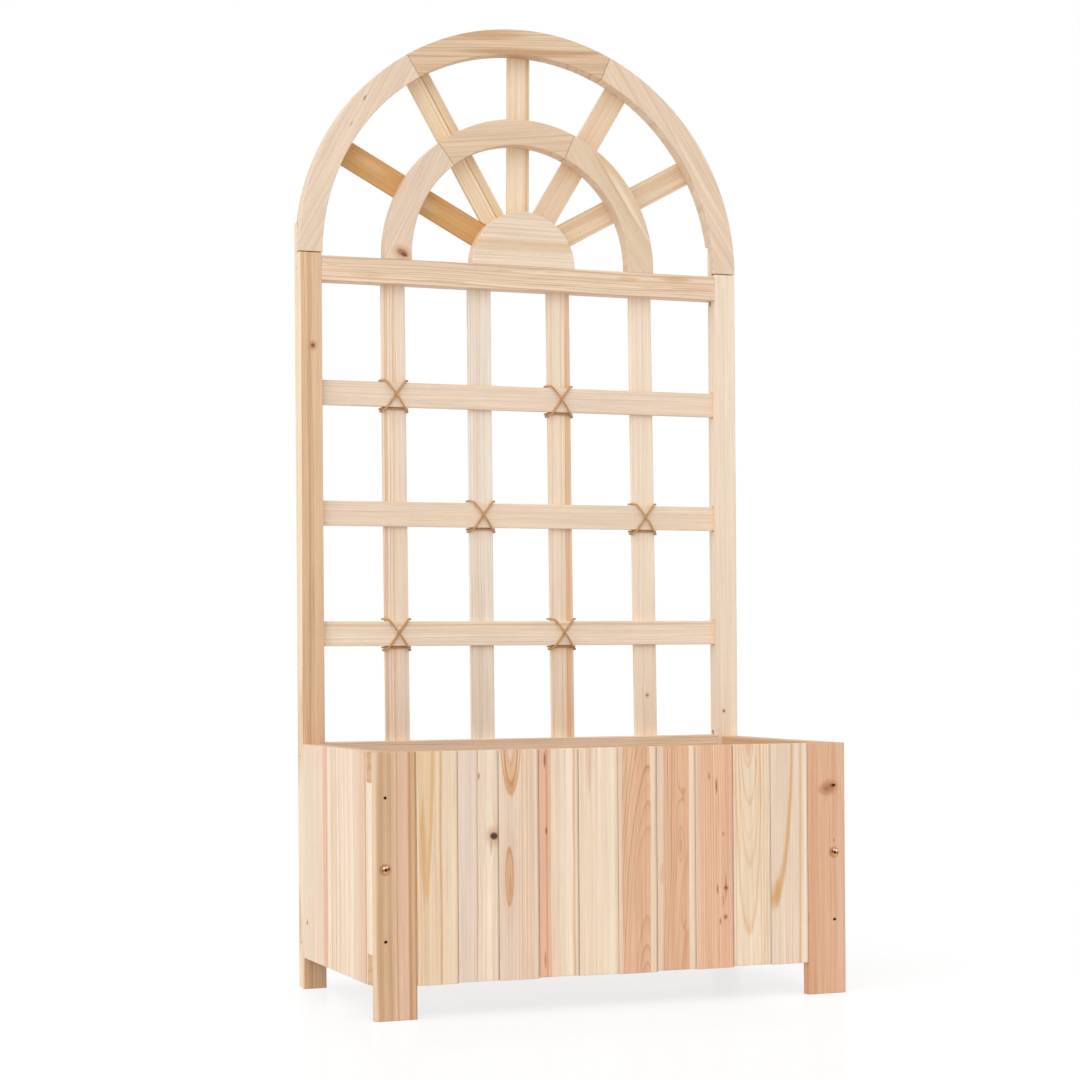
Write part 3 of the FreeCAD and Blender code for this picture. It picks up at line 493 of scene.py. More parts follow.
FRONT_BOARDS = {
    "front_leg_left": dict(
        sap=(214, 181, 146), heart=TAN, late=AMBER, lines=0.6, pitch=3.6, pith=(-160, -20),
        tint=(202, 160, 120), marks=[
            band(-25, 2.2, (236, 208, 178), 0.8, soft=0.3), streak(-17, 2.2, (196, 152, 110), 0.5),
            streak(-6, 1.6, (198, 154, 112), 0.5), band(8, 10, (226, 191, 165), 0.75, soft=0.25),
            band(2.4, 0.9, (206, 150, 112), 0.8, soft=0.7), streak(18.5, 2.0, (186, 132, 92), 0.75),
            band(22, 2.2, (216, 170, 130), 0.6), band(25.6, 0.7, (156, 112, 76), 0.6, soft=0.6)]),
    "front_board_01": dict(
        sap=(231, 203, 172), late=(216, 168, 118), lines=0.6, pitch=4.6, pith=(-130, 20), sway=4.2,
        tint=(238, 214, 184), tinted=0.6, marks=[
            tongue(-12, 150, 10.5, 196, (222, 178, 126), 0.9, 0.06),
            tongue(-13.5, 152, 8.0, 176, (231, 201, 164), 0.9, 0.08),
            tongue(-16, 20, 3.6, 66, (218, 172, 118), 0.8, 0.3), streak(6.5, 1.2, AMBER, 0.5),
            band(17, 8, PALE, 0.35)]),
    "front_board_02": dict(
        sap=(236, 215, 191), late=(216, 186, 152), pitch=5.0, pith=(130, 10), sway=3.4, tint=PALE,
        tinted=0.4, marks=[
            band(-17, 17, (228, 206, 189), 0.85, soft=0.25), streak(0.5, 1.0, (204, 160, 120), 0.6),
            band(17, 4.5, PALE, 0.7), *knot(22.5, 36, 4.6, KNOT, (196, 148, 102), 5.0),
            blob(19, 22, 1.6, 9, (204, 150, 104), 0.6, 0.5), *fleck(2.7, 110, 9, 1.0, RUST)]),
    "front_board_03": dict(
        sap=(233, 210, 190), late=(220, 178, 134), pitch=3.6, pith=(70, -12), sway=1.6,
        tint=(232, 211, 194), tinted=0.4, marks=[
            blob(-9, 175, 14.0, 90, (212, 162, 116), 0.95, 0.04),
            blob(-9, 177, 12.6, 82, (230, 203, 182), 0.9, 0.05),
            blob(-9, 168, 10.4, 74, (204, 150, 104), 1.0, 0.04),
            blob(-9, 172, 8.8, 68, (222, 184, 148), 0.95, 0.05),
            blob(-9.5, 175, 6.4, 55, (214, 170, 128), 0.7, 0.06),
            blob(-9.5, 178, 5.2, 50, (229, 203, 182), 0.95, 0.08),
            blob(-11, -14, 9.5, 62, (222, 190, 160), 0.5, 0.3, 3.0),
            blob(-11, -14, 5.6, 37, (204, 150, 104), 0.95, 0.1),
            blob(-11, -16, 4.4, 31, (221, 176, 136), 0.95, 0.15),
            blob(-10, -28, 1.6, 15, (200, 146, 102), 0.7, 0.5), streak(5.5, 1.0, GOLD, 0.55),
            streak(12, 1.0, GOLD, 0.5), streak(17, 1.0, GOLD, 0.5)]),
    "front_board_04": dict(
        sap=(236, 213, 188), late=(220, 182, 144), pitch=3.2, pith=(190, 10), sway=2.2,
        tint=(241, 221, 198), tinted=0.6, marks=[
            band(-19, 10.2, (226, 179, 147), 0.95, soft=0.1), streak(-14.5, 0.9, RUST, 0.45),
            *fleck(-16.9, 128, 20, 1.3), *fleck(-15, 40, 10, 1.2), *fleck(-17.5, -120, 24, 0.9, RUST),
            band(15, 4.5, PALE, 0.75), streak(21, 1.2, GOLD, 0.65)]),
    "front_board_05": dict(
        late=(226, 194, 160), pitch=4.6, pith=(150, 5), sway=1.8, tint=PALE,
        marks=[tongue(-11, 160, 4.8, 82, (229, 194, 168), 0.95, 0.2), band(19, 4, PALE, 0.6)]),
    "front_board_06": dict(
        heart=(227, 186, 153), late=(186, 124, 84), pitch=3.0, pith=(14, -21), lean=-0.085, sway=3.0,
        heart_radius=400, tint=(222, 170, 134), tinted=0.6, marks=[
            band(-24.5, 5.5, (233, 205, 179), 0.95, soft=0.2),
            band(25, 6.6, (238, 213, 184), 0.95, soft=0.1)]),
    "front_board_07": dict(
        heart=(228, 185, 151), late=(192, 130, 90), pitch=3.2, pith=(16, -16), lean=-0.03, sway=3.0,
        heart_radius=400, tint=(222, 170, 134), tinted=0.6, marks=[
            band(-24.5, 6.5, (232, 207, 183), 0.95, soft=0.3),
            band(25, 6.6, (238, 214, 186), 0.95, soft=0.1),
            blob(7, 18, 5.6, 23, (200, 140, 102), 0.5, 0.1, 1.5),
            blob(7, 18, 4.6, 20, (226, 180, 146), 0.75, 0.12),
            blob(6.5, 16, 2.0, 9, (206, 150, 112), 0.5, 0.4),
            blob(10.5, 84, 3.2, 4.5, (206, 142, 100), 0.6, 0.6, 2.5),
            blob(10.5, 74, 2.6, 3.6, (210, 150, 108), 0.5, 0.6, 2.0),
            tongue(11, -74, 3.6, 18, (206, 142, 98), 0.6, 0.2),
            tongue(11, -70, 2.4, 16, (226, 182, 148), 0.8, 0.2),
            blob(-20, -20, 3.0, 12, ROSY, 0.5, 0.6, 4.0)]),
    "front_board_08": dict(
        sap=SALMON, heart=(234, 193, 160), late=(198, 132, 96), lines=0.55, pitch=2.7, pith=(-330, 10),
        sway=1.2, heart_radius=900, tint=(228, 178, 144), tinted=0.6, marks=[
            band(-23, 2.5, PINKISH, 0.8), *fleck(-5.2, 103, 10, 0.9, RUST),
            *fleck(5.1, 90, 20, 1.2, (142, 92, 60)), *fleck(13.7, 29, 6, 1.0, RUST),
            *fleck(5.3, -41, 13, 0.9, (150, 94, 60)), *fleck(17.2, -38, 36, 0.9, RUST),
            *knot(17.2, -40, 1.7, (110, 62, 38), RUST, 2.0), *fleck(13.1, -56, 18, 0.7, RUST),
            *knot(16.4, -77, 1.5, (150, 94, 60), RUST, 2.4), *fleck(9, -82, 9, 1.1, RUST),
            *fleck(8, 60, 60, 0.5, RUST, 0.4)]),
    "front_board_09": dict(
        sap=(241, 220, 194), heart=CREAM, late=(220, 176, 128), lines=0.3, pitch=5.6, pith=(-3.5, -20),
        lean=0.066, sway=2.6, tint=GREIGE, tinted=0.4, marks=[
            *nested_tips(-3.0, 1.2), tongue(-2.5, 152, 6, 30, (225, 176, 140), 0.75, 0.3),
            *fleck(8, 118, 16, 1.4, SALMON), streak(14, 0.8, GOLD, 0.45), streak(18.5, 0.8, GOLD, 0.45),
            band(22.5, 1.4, (226, 190, 150), 0.6, soft=0.6), streak(-21, 0.9, GOLD, 0.4)]),
    "front_board_10": dict(
        sap=(238, 216, 193), late=(218, 178, 136), lines=0.45, pitch=4.4, pith=(160, 10), sway=3.0,
        tint=(234, 212, 194), marks=[
            blob(-21, 150, 27, 218, (216, 170, 118), 0.9, 0.05),
            blob(-23.5, 160, 26, 204, (231, 207, 184), 0.97, 0.07),
            tongue(-16, -50, 3.4, 18, (214, 164, 110), 0.8, 0.4), streak(17, 1.4, (216, 170, 122), 0.65),
            band(24, 3, PALE, 0.5)]),
    "front_leg_right": dict(
        sap=SALMON, heart=(226, 183, 149), late=(200, 134, 98), pitch=3.0, pith=(-170, 10), sway=2.6,
        heart_radius=900, tint=(218, 166, 130), tinted=0.6, marks=[
            band(-24, 8, (216, 162, 126), 0.6, soft=0.5), band(21, 5, PINKISH, 0.35, soft=0.6),
            blob(6, 105, 15, 11, (212, 152, 112), 0.5, 0.4, 4.0),
            blob(1, 102, 9.5, 6.6, (164, 108, 74), 0.5, 0.55),
            blob(8, 106.5, 9.0, 7.0, (164, 108, 74), 0.5, 0.55),
            blob(0, 101.5, 5.0, 3.4, (206, 150, 112), 0.5, 0.6),
            blob(8, 106, 5.4, 4.0, (196, 138, 100), 0.5, 0.6),
            blob(2, 103, 4.6, 3.0, (156, 102, 70), 0.6, 0.4),
            blob(10, 107, 3.6, 2.8, (120, 74, 50), 0.7, 0.5), *fleck(12.6, 36, 5, 0.9, RUST),
            *fleck(-26, -64, 18, 1.0, UMBER, 0.5)]),
}
LEG_MIDDLE = 162.5               # a leg plank's middle above the floor
UPPER_BRAD = 270.0
LOWER_BRAD = 96.0
LEG_SCREW = 183.0
FIXING_ACROSS = 12.1             # how far outward of a leg plank's middle its brads and screw sit
# a painted shadow in the wood round each leg screw's head
SCREW_PAINTED_SHADOW = (158, 106, 72)
for side, sign in (("left", -1), ("right", 1)):
    outward = sign * FIXING_ACROSS
    FRONT_BOARDS["front_leg_" + side]["marks"] += [
        brad_hole(outward, UPPER_BRAD - LEG_MIDDLE), brad_hole(outward, LOWER_BRAD - LEG_MIDDLE),
        blob(outward, LEG_SCREW - LEG_MIDDLE, 6.8, 6.8, SCREW_PAINTED_SHADOW, 0.75, 0.3)]
FRONT_BOARD_HALF = 26.58
# how dark the painted shade is beside each front board's seams
SEAM_SHARES = (0.15, 0.3, 0.35, 0.3, 0.1, 0.3, 0.2, 0.3, 0.25, 0.2)
for number, share in enumerate(SEAM_SHARES, 1):
    FRONT_BOARDS[f"front_board_{number:02d}"].update(edges=FRONT_BOARD_HALF, seam_share=share)
for order, (node, looks) in enumerate(FRONT_BOARDS.items()):
    dress_board(node, Z_UP, FRONTWARD, seed=1.3 + order * 2.1, **looks)

for node, sap, late in (("front_top_rail", (210, 168, 122), (180, 130, 84)),
                        ("front_bottom_rail", (214, 176, 132), (186, 138, 92))):
    dress_board(node, RIGHTWARD, BACKWARD, sap=sap, late=late, lines=0.55, pitch=3.0,
                pith=(150, 20), sway=2.0, seed=31.0)
for order, side in enumerate(("left", "right")):
    dress_board("corner_batten_" + side, Z_UP, BACKWARD, sap=PALE, late=BEIGE, lines=0.55,
                pith=(120, 20), sway=2.0, seed=35.0 + order)

# ---------------------------------------------------------------- the sides, back and floor
SIDE_BOARD = 57.6
BACK_BOARD = 53.16
FLOOR_PITCH = 64.5
# seen from outside on the left, the boards run from the back (left) to the front (right)
dress_panel(
    "side_boards_left", Z_UP, LEFTWARD, SIDE_BOARD, sap=(246, 228, 206), late=(212, 164, 116), pitch=5.0,
    pith=(190, 10), sway=2.2, seed=41.0, tint=(238, 213, 186), tinted=0.4, marks=[
        band(-115, 27, (233, 211, 186), 0.75, soft=0.05), band(-95, 5, (232, 208, 182), 0.6),
        band(-66, 18, (238, 209, 188), 0.85, soft=0.2), band(-39, 9, (231, 183, 151), 0.9, soft=0.35),
        band(-31, 1.6, (214, 152, 116), 0.6, soft=0.6), band(-24, 3, PALE, 0.6),
        band(-9.6, 1.5, (216, 168, 118), 0.6, soft=0.7), band(-4, 0.8, (206, 156, 108), 0.5, soft=0.7),
        band(11, 1.8, (216, 170, 122), 0.6, soft=0.7), band(24, 1.0, (206, 156, 108), 0.6, soft=0.7),
        band(48, 1.0, (214, 172, 128), 0.4, soft=0.7), band(66, 1.0, (214, 172, 128), 0.4, soft=0.7),
        band(81, 3, PALE, 0.8), band(99, 12, (232, 206, 182), 0.85, soft=0.1),
        band(126, 14, (230, 190, 158), 0.75, soft=0.3), band(138.5, 2.2, (200, 134, 100), 0.7, soft=0.5),
        *knot(-127, -93, 2.2, (140, 92, 62), GOLD, 2.0), *fleck(-52, -108, 12, 1.6, ROSY, 0.6)])
dress_panel(
    "side_boards_right", Z_UP, RIGHTWARD, SIDE_BOARD, sap=BEIGE, pitch=3.2, pith=(170, 10), sway=2.6,
    seed=47.0, marks=[
        band(-110, 20, SALMON, 0.6, soft=0.2), band(-20, 14, PALE, 0.5), band(70, 12, SALMON, 0.5),
        *knot(32, 60, 3.4, UMBER, GOLD, 3.0), *knot(-100, -60, 2.0, UMBER, ROSY, 3.0)])
dress_panel(
    "back_boards", Z_UP, BACKWARD, BACK_BOARD, sap=BEIGE, pitch=3.4, pith=(210, 10), sway=2.8, seed=53.0,
    marks=[
        band(-180, 20, SALMON, 0.6), band(-60, 16, PINKISH, 0.6), band(40, 18, PALE, 0.6),
        band(150, 22, SALMON, 0.5), *knot(-120, 50, 3.6, KNOT, GOLD, 3.0),
        *knot(96, -70, 2.4, UMBER, GOLD, 3.0), *knot(210, 20, 2.8, UMBER, ROSY, 3.0)])
dress_panel(
    "floor_boards", BACKWARD, Z_UP, FLOOR_PITCH, sap=BEIGE, late=AMBER, pitch=3.8, pith=(210, 10), sway=2.6,
    seed=59.0, marks=[band(-150, 22, TAN, 0.6), band(60, 20, SALMON, 0.4), *knot(-40, 60, 3.4)])
for order, place in enumerate(("left_top", "left_bottom", "right_top", "right_bottom")):
    dress_board("side_rail_" + place, BACKWARD, Z_UP, sap=TAN, late=AMBER, lines=0.55, pitch=3.0,
                pith=(130, 30), sway=2.0, seed=63.0 + order)
dress_board(
    "back_top_rail", RIGHTWARD, FRONTWARD, sap=(242, 218, 190), late=(206, 162, 120), lines=0.6, pitch=3.6,
    pith=(60, -14), lean=0.02, seed=71.0)
dress_board(
    "back_bottom_rail", RIGHTWARD, FRONTWARD, sap=BEIGE, late=AMBER, lines=0.55, sway=2.0, pith=(120, 20),
    seed=72.0)

# ---------------------------------------------------------------- the trellis
# painted light: the left post's side face, and its front's left edge, drawn paler
POST_SIDE_PAINTED_LIGHT = (245, 219, 189)
dress_board(
    "post_left", Z_UP, FRONTWARD, sap=(228, 193, 154), heart=(230, 196, 158), late=(196, 146, 104),
    lines=0.6, pitch=3.2, pith=(-40, 24), lean=0.01, sway=2.6, seed=75.0, tint=(228, 192, 156), tinted=0.7,
    marks=[
        band(-3.5, 2.2, (178, 128, 88), 0.4, soft=0.9), band(10, 6, (226, 192, 158), 0.6),
        band(-16.1, 1.2, POST_SIDE_PAINTED_LIGHT, 1.0, soft=0.3),
        *knot(2, above_middle("post_left", 856), 2.6, UMBER, RUST, 2.8)])
dress_board(
    "post_right", Z_UP, FRONTWARD, sap=(242, 221, 198), heart=CREAM, late=BEIGE, lines=0.7, pitch=3.4,
    pith=(160, 30), sway=1.6, seed=78.0, tint=PALE, tinted=0.4,
    marks=[band(9, 4, PALE, 0.5), *knot(-6, -150, 1.6, UMBER, GOLD, 2.4)])
dress_board(
    "top_rail", RIGHTWARD, FRONTWARD, sap=(239, 214, 187), late=(190, 138, 96), lines=0.6, pitch=3.6,
    pith=(34, -13), lean=-0.016, sway=5.0, seed=81.0, tint=(226, 196, 164), marks=[
        tongue(-9, 229, 3.6, 24, (212, 162, 108), 0.6, 0.4),
        tongue(-7, 155, 2.6, 18, (212, 162, 108), 0.5, 0.4), tongue(3, -225, 5, 22, GOLD, 0.35, 0.5)])
dress_board(
    "lattice_bar_upper", RIGHTWARD, FRONTWARD, sap=(238, 216, 194), late=(216, 182, 146), pitch=3.4,
    pith=(60, -12), lean=0.012, sway=3.2, seed=83.0)
dress_board(
    "lattice_bar_middle", RIGHTWARD, FRONTWARD, sap=(240, 218, 194), late=(218, 184, 146), pitch=3.2,
    pith=(-70, -12), lean=-0.012, sway=3.2, seed=86.0, tint=CREAM)
dress_board(
    "lattice_bar_lower", RIGHTWARD, FRONTWARD, sap=(248, 230, 208), late=(228, 194, 160), pitch=3.4,
    pith=(60, -12), lean=0.012, sway=3.2, seed=89.0, tint=(234, 208, 180), tinted=0.4,
    marks=[streak(-12, 1.2, GOLD, 0.5)])
SLAT_LOOKS = {
    "far_left": dict(
        sap=(244, 224, 204), late=(222, 178, 136), lines=0.6, pitch=3.4, tint=PALE, tinted=0.3, marks=[
            band(-13, 2.6, (226, 186, 146), 0.75), streak(-2, 1.2, GOLD, 0.5),
            band(10, 5, (238, 218, 198), 0.7)]),
    "mid_left": dict(
        sap=(243, 229, 213), late=(222, 200, 174), lines=0.7, pitch=4.2, tint=(238, 224, 208), tinted=0.4,
        marks=[band(-4, 4, (230, 208, 184), 0.4)]),
    "mid_right": dict(
        sap=(240, 216, 190), late=(222, 180, 138), pitch=3.4, tint=PALE, tinted=0.4,
        marks=[band(11.5, 3.2, (228, 180, 140), 0.8), streak(8, 0.8, RUST, 0.35), band(-6, 5, PALE, 0.5)]),
    "far_right": dict(
        sap=(245, 226, 204), late=(230, 200, 164), lines=0.6, pitch=3.8, tint=PALE, marks=[
            *knot(5, above_middle("lattice_slat_far_right", 384), 2.0, UMBER, GOLD), band(8, 4, PALE, 0.4)]),
}
for order, (side, looks) in enumerate(SLAT_LOOKS.items()):
    dress_board("lattice_slat_" + side, Z_UP, FRONTWARD, pith=(150 - 300 * (order % 2), 10), sway=2.2,
                seed=91.0 + 2.3 * order, **looks)


# ---------------------------------------------------------------- arches, hub and spokes
def chord_of(angle):
    """The way a piece of arch runs whose middle lies at an angle, in degrees, round from the right."""
    turned = math.radians(angle)
    return Vector((-math.sin(turned), 0, math.cos(turned)))


def from_chord(board, angle, x, z):
    """Millimetres across and along a piece of arch, for a place x and z on the trellis."""
    chord = chord_of(angle)
    offset = Vector((x * MM, 0, z * MM)) - centre_of(board)
    offset.y = 0
    return chord.cross(FRONTWARD).dot(offset) / MM, chord.dot(offset) / MM


# the grain runs straight along each piece's chord
BROWN_STREAK = (186, 138, 96)
LIGHT_STREAK = (242, 220, 192)
ARCH_ANGLES = {"outer_arch_left": 150.75, "outer_arch_top": 93.75, "outer_arch_right": 33.0,
               "inner_arch_left": 154.0, "inner_arch_top": 97.0, "inner_arch_right": 33.0}
ARCH_LOOKS = {
    "outer_arch_left": dict(sap=(234, 210, 186), late=(218, 186, 154), pitch=5.0, tint=(240, 218, 194)),
    "outer_arch_top": dict(
        sap=(230, 202, 172), heart=TAN, late=(192, 144, 100), lines=0.6, pitch=4.4, tint=(212, 176, 138),
        tinted=0.6),
    "outer_arch_right": dict(sap=(231, 206, 180), late=(208, 170, 130), pitch=5.0, tint=(240, 216, 190)),
    "inner_arch_left": dict(sap=(231, 207, 184), late=(218, 190, 164), pitch=4.4, tint=(226, 198, 172)),
    "inner_arch_top": dict(sap=(231, 203, 174), late=(204, 168, 132), pitch=3.6, tint=(218, 186, 154)),
    "inner_arch_right": dict(sap=(230, 205, 178), late=(210, 174, 134), pitch=4.6, tint=(222, 194, 164)),
}
# board, middle x and z above the floor, half width, half length, colour, share
ARCH_MARKS = (
    ("outer_arch_left", -227, 1191, 1.2, 5, UMBER, 0.7), ("outer_arch_left", -246, 1155, 1.0, 4, UMBER, 0.6),
    ("outer_arch_top", 19, 1272, 5.0, 105, BROWN_STREAK, 0.7),
    ("outer_arch_top", -55, 1290, 6.0, 60, (196, 152, 110), 0.7),
    ("outer_arch_top", 60, 1282, 4.0, 80, (232, 206, 176), 0.6),
    ("outer_arch_right", 145, 1215, 5.0, 7, (120, 84, 62), 0.6),
    ("inner_arch_right", 123, 1131, 9.0, 26, (222, 182, 134), 0.6),
    ("inner_arch_right", 153, 1078, 3.0, 52, LIGHT_STREAK, 0.8),
    ("inner_arch_right", 136, 1094, 1.2, 60, (196, 150, 106), 0.5),
    ("outer_arch_right", 262, 1120, 3.0, 75, LIGHT_STREAK, 0.7),
    ("outer_arch_right", 236, 1128, 1.6, 70, (202, 160, 118), 0.4),
    ("outer_arch_left", -262, 1120, 5.0, 60, LIGHT_STREAK, 0.5),
)
# the middle that each ring's glue lines run out from, and their angles
OUTER_JOINTS = ((0, 981.5), (66, 121.5))
INNER_JOINTS = ((-3, 981.5), (66.5, 127.5))
FOOT_KNOT = (-176, 986)          # a knot in the inner arch's left foot
for order, (node, looks) in enumerate(ARCH_LOOKS.items()):
    angle = ARCH_ANGLES[node]
    marks = []
    for board, x, z, half_width, half_length, colour, amount in ARCH_MARKS:
        if board == node:
            across, along = from_chord(node, angle, x, z)
            marks.append(tongue(across, along, half_width, half_length, colour, amount, 0.4))
    if node == "inner_arch_left":
        across, along = from_chord(node, angle, *FOOT_KNOT)
        marks += [blob(across, along, 13, 9, (206, 158, 110), 0.7, 0.5, 3.0),
                  blob(across, along, 8, 4.5, (150, 100, 66), 0.75, 0.4),
                  blob(across - 3, along + 1, 4.5, 2.0, (96, 60, 44), 0.85, 0.4)]
    joints = OUTER_JOINTS if node.startswith("outer") else INNER_JOINTS
    dress_board(node, chord_of(angle), FRONTWARD, pith=(120, -10), lean=0.03,
                seed=101.0 + 1.9 * order, marks=marks, joints=joints, **looks)
dress_board(
    "hub", RIGHTWARD, FRONTWARD, sap=(240, 220, 198), late=(212, 174, 132), pitch=4.4, pith=(-60, -14),
    lean=0.012, seed=113.0, tint=(226, 200, 172), marks=[band(9, 6, (222, 184, 138), 0.5, soft=0.5)])

SPOKE_ANGLES = {"low_right": 28.4, "high_right": 58.8, "upright": 89.4, "high_left": 120.1,
                "low_left": 152.2}
SPOKE_LOOKS = {
    "low_right": dict(
        sap=(226, 196, 162), late=(208, 168, 124), lines=0.55, pitch=4.0, tint=(240, 216, 186), tinted=0.6,
        marks=[tongue(6, 10, 6, 110, (240, 216, 186), 0.5)]),
    "high_right": dict(
        sap=(236, 209, 180), late=(212, 172, 132), pitch=3.4, tint=(232, 202, 172),
        marks=[tongue(-7, 0, 6, 160, (228, 190, 156), 0.4), blob(12, 139, 6, 5, (110, 76, 56), 0.6, 0.7)]),
    "upright": dict(
        sap=(246, 221, 190), late=(226, 194, 156), lines=0.6, pitch=4.2, tint=(234, 206, 172),
        marks=[band(12, 1.8, (224, 178, 128), 0.8), band(3, 5, PALE, 0.5)]),
    "high_left": dict(
        sap=(245, 220, 188), late=(212, 172, 128), pitch=4.0, tint=(240, 211, 178),
        marks=[band(11, 6, (228, 196, 158), 0.7), band(4.5, 0.9, (176, 128, 84), 0.75, soft=0.7)]),
    "low_left": dict(
        sap=(214, 166, 106), heart=GOLD, late=(192, 138, 80), lines=0.6, pitch=3.2, tint=(206, 154, 96),
        tinted=0.6, marks=[
            blob(-2, -20, 8, 26, (232, 196, 150), 0.6, 0.6), blob(5, 60, 6, 20, (226, 184, 132), 0.5, 0.6),
            band(-9, 1.0, (182, 130, 82), 0.5, soft=0.7)]),
}
for order, (side, looks) in enumerate(SPOKE_LOOKS.items()):
    turned = math.radians(SPOKE_ANGLES[side])
    outward = Vector((math.cos(turned), 0, math.sin(turned)))
    dress_board("spoke_" + side, outward, FRONTWARD, pith=(-140, 10), sway=2.2,
                seed=121.0 + 1.7 * order, **looks)


# ---------------------------------------------------------------- metal and dowels
TARNISH_SHARE = 0.8
HEAD_PLACE = (305, 183)          # a leg screw's head, millimetres outward and up from the part's origin
HEAD_SHARE = 0.95                # how strongly its painted highlights and shade show
# the head's copper tone, then painted highlights, reflections and shade on it: where each lies outward and up
# from the head's middle, its radius, softness and colour
HEAD_PAINTED_LIGHT = (
    ((0, 0), 5.6, 0.12, (196, 136, 92)), ((0.4, -3.0), 2.6, 0.5, (214, 160, 92)),
    ((2.2, 2.2), 1.5, 0.4, (250, 236, 214)), ((-1.0, 3.2), 1.3, 0.4, (246, 222, 204)),
    ((-3.8, 1.0), 1.5, 0.5, (84, 48, 44)), ((3.8, -0.8), 1.2, 0.5, (140, 90, 56)),
    ((-1.2, -0.4), 1.5, 0.5, (150, 88, 72)), ((0.4, -0.4), 1.7, 0.4, (66, 36, 24)),
    ((0.2, 1.2), 0.7, 0.4, (66, 36, 24)),
)


def metal(name, colour, rough, tarnish, head=None):
    """Plated or bare steel with a faintly uneven finish; head adds the painted highlights, reflections and
    shade of the leg screws' heads.
    """
    material, t = new_material(name)
    place = t.millimetres()
    dull = t.times(t.step(t.noise(place, (0.9, 0.9, 0.9), 3.0), 0.4, 0.7), TARNISH_SHARE)
    shade = t.mix(dull, linear(colour), linear(tarnish))
    if head:
        (out, up), painted_light = head
        split = t.split(place)
        on_face = t.joined(t.minus(t.math("ABSOLUTE", split["X"]), out),
                           t.minus(split["Z"], up), 0.0)
        # painted highlights, reflections and shade laid over the head's colour
        for (across, along), radius, soft, tone in painted_light:
            found = spot(t, on_face, blob(across, along, radius, radius, tone, HEAD_SHARE, soft))
            shade = t.mix(t.times(found["Mask"], HEAD_SHARE), shade, linear(tone))
    fine = t.noise(place, (6.0, 6.0, 6.0), 2.0)
    shader = t.node("ShaderNodeBsdfPrincipled", {"Base Color": shade, "Metallic": 1.0,
                                                 "Roughness": t.math("MULTIPLY_ADD", fine, 0.2, rough)})
    t.node("ShaderNodeOutputMaterial", {"Surface": shader.outputs[0]})
    return material


YELLOW_ZINC = metal("yellow_zinc", (226, 186, 120), 0.28, (176, 112, 80), (HEAD_PLACE, HEAD_PAINTED_LIGHT))
# the brads' steel is made near black, a painted shade of the holes they sit in
STEEL = metal("brad_steel_painted_shade", (44, 36, 32), 0.5, (24, 18, 16))
for node, material in (("leg_screws", YELLOW_ZINC), ("lap_screws", YELLOW_ZINC),
                       ("frame_brads", STEEL), ("spoke_brads", STEEL)):
    dress(node, material)
dress_board("arch_dowels", RIGHTWARD, FRONTWARD, sap=PALE, late=BEIGE, lines=0.55, pitch=1.4,
            sway=2.0, seed=131.0)

# ---------------------------------------------------------------- twine lashings
LATTICE_HALF = 16.75 * MM
LATTICE_THICK = 6.0 * MM
TWINE_RADIUS = 1.4 * MM
TWINE_GAP = 0.45 * MM            # between the twine and the wood
TURN_GAP = 0.5 * MM              # between one turn and the next
CORNER_RADIUS = 2.8 * MM
ARC_STEP = 0.4 * MM
ROUTE_STEP = 0.9 * MM
PLIES = 3
PLY_TURN = 8.5 * MM              # the length in which a ply goes round once
PLY_OFFSET = TWINE_RADIUS * 0.5
PLY_RADIUS = TWINE_RADIUS * 0.56
PLY_SIDES = 7
HAIRS = 46
HAIR_LENGTH = (1.2, 3.2)         # least and most, in millimetres
BARE_PLACES = 4                  # places at each end of the route that no hair starts from
HAIR_RADIUS = 0.07 * MM
HAIR_SIDES = 4
HAIR_TAPER = 0.6                 # the share of its radius that a hair loses towards its tip


def lashing_route():
    """The corners of a crossed lashing, from where bar and slat touch."""
    reach = TWINE_RADIUS + TWINE_GAP
    pitch = 2 * TWINE_RADIUS + TURN_GAP
    edge = LATTICE_HALF + reach
    face = -reach
    over = -LATTICE_THICK - reach
    hump = over - pitch
    behind = LATTICE_THICK + reach
    behind_2 = behind + pitch
    level = edge + pitch / 3
    lower = edge + pitch + TURN_GAP
    turn_x = 0.8 * LATTICE_HALF
    tail = LATTICE_HALF / 2
    return [Vector(point) for point in (
        (-tail, behind, level - pitch / 2), (edge, behind, level), (edge, face, level),
        (turn_x, over, edge), (-turn_x, over, -edge), (-edge, face, -lower),
        (-edge, behind, -lower), (edge, behind, -edge), (edge, face, -edge),
        (-edge, face, -edge), (-edge, behind_2, -edge), (edge, behind_2, -lower),
        (edge, face, -lower), (turn_x, over, -edge), (turn_x / 3, hump, -edge / 3),
        (-turn_x / 3, hump, edge / 3), (-turn_x, over, edge), (-edge, face, level),
        (-edge, behind_2, level), (tail, behind_2, level + pitch / 2))]


def rounded(points, radius):
    """The route with its corners turned into arcs, as evenly spaced places."""
    line = [points[0]]
    for before, corner, after in zip(points, points[1:], points[2:]):
        back = (before - corner).normalized()
        ahead = (after - corner).normalized()
        half = back.angle(ahead) / 2
        reach = radius / math.tan(half)
        start = corner + back * reach
        stop = corner + ahead * reach
        middle = corner + (back + ahead).normalized() * (radius / math.sin(half))
        sweep = math.pi - 2 * half
        steps = max(3, int(sweep * radius / ARC_STEP))
        first = start - middle
        last = stop - middle
        for number in range(steps + 1):
            share = number / steps
            weight_first = math.sin((1 - share) * sweep) / math.sin(sweep)
            weight_last = math.sin(share * sweep) / math.sin(sweep)
            line.append(middle + first * weight_first + last * weight_last)
    line.append(points[-1])
    return evenly(line, ROUTE_STEP)


def evenly(line, step):
    """Places a step apart along a line, and its end."""
    places = [line[0]]
    left = step
    for start, stop in zip(line, line[1:]):
        span = (stop - start).length
        if span < 1e-9:
            continue
        along = (stop - start) / span
        done = 0.0
        while span - done >= left:
            done += left
            places.append(start + along * done)
            left = step
        left -= span - done
    places.append(line[-1])
    return places


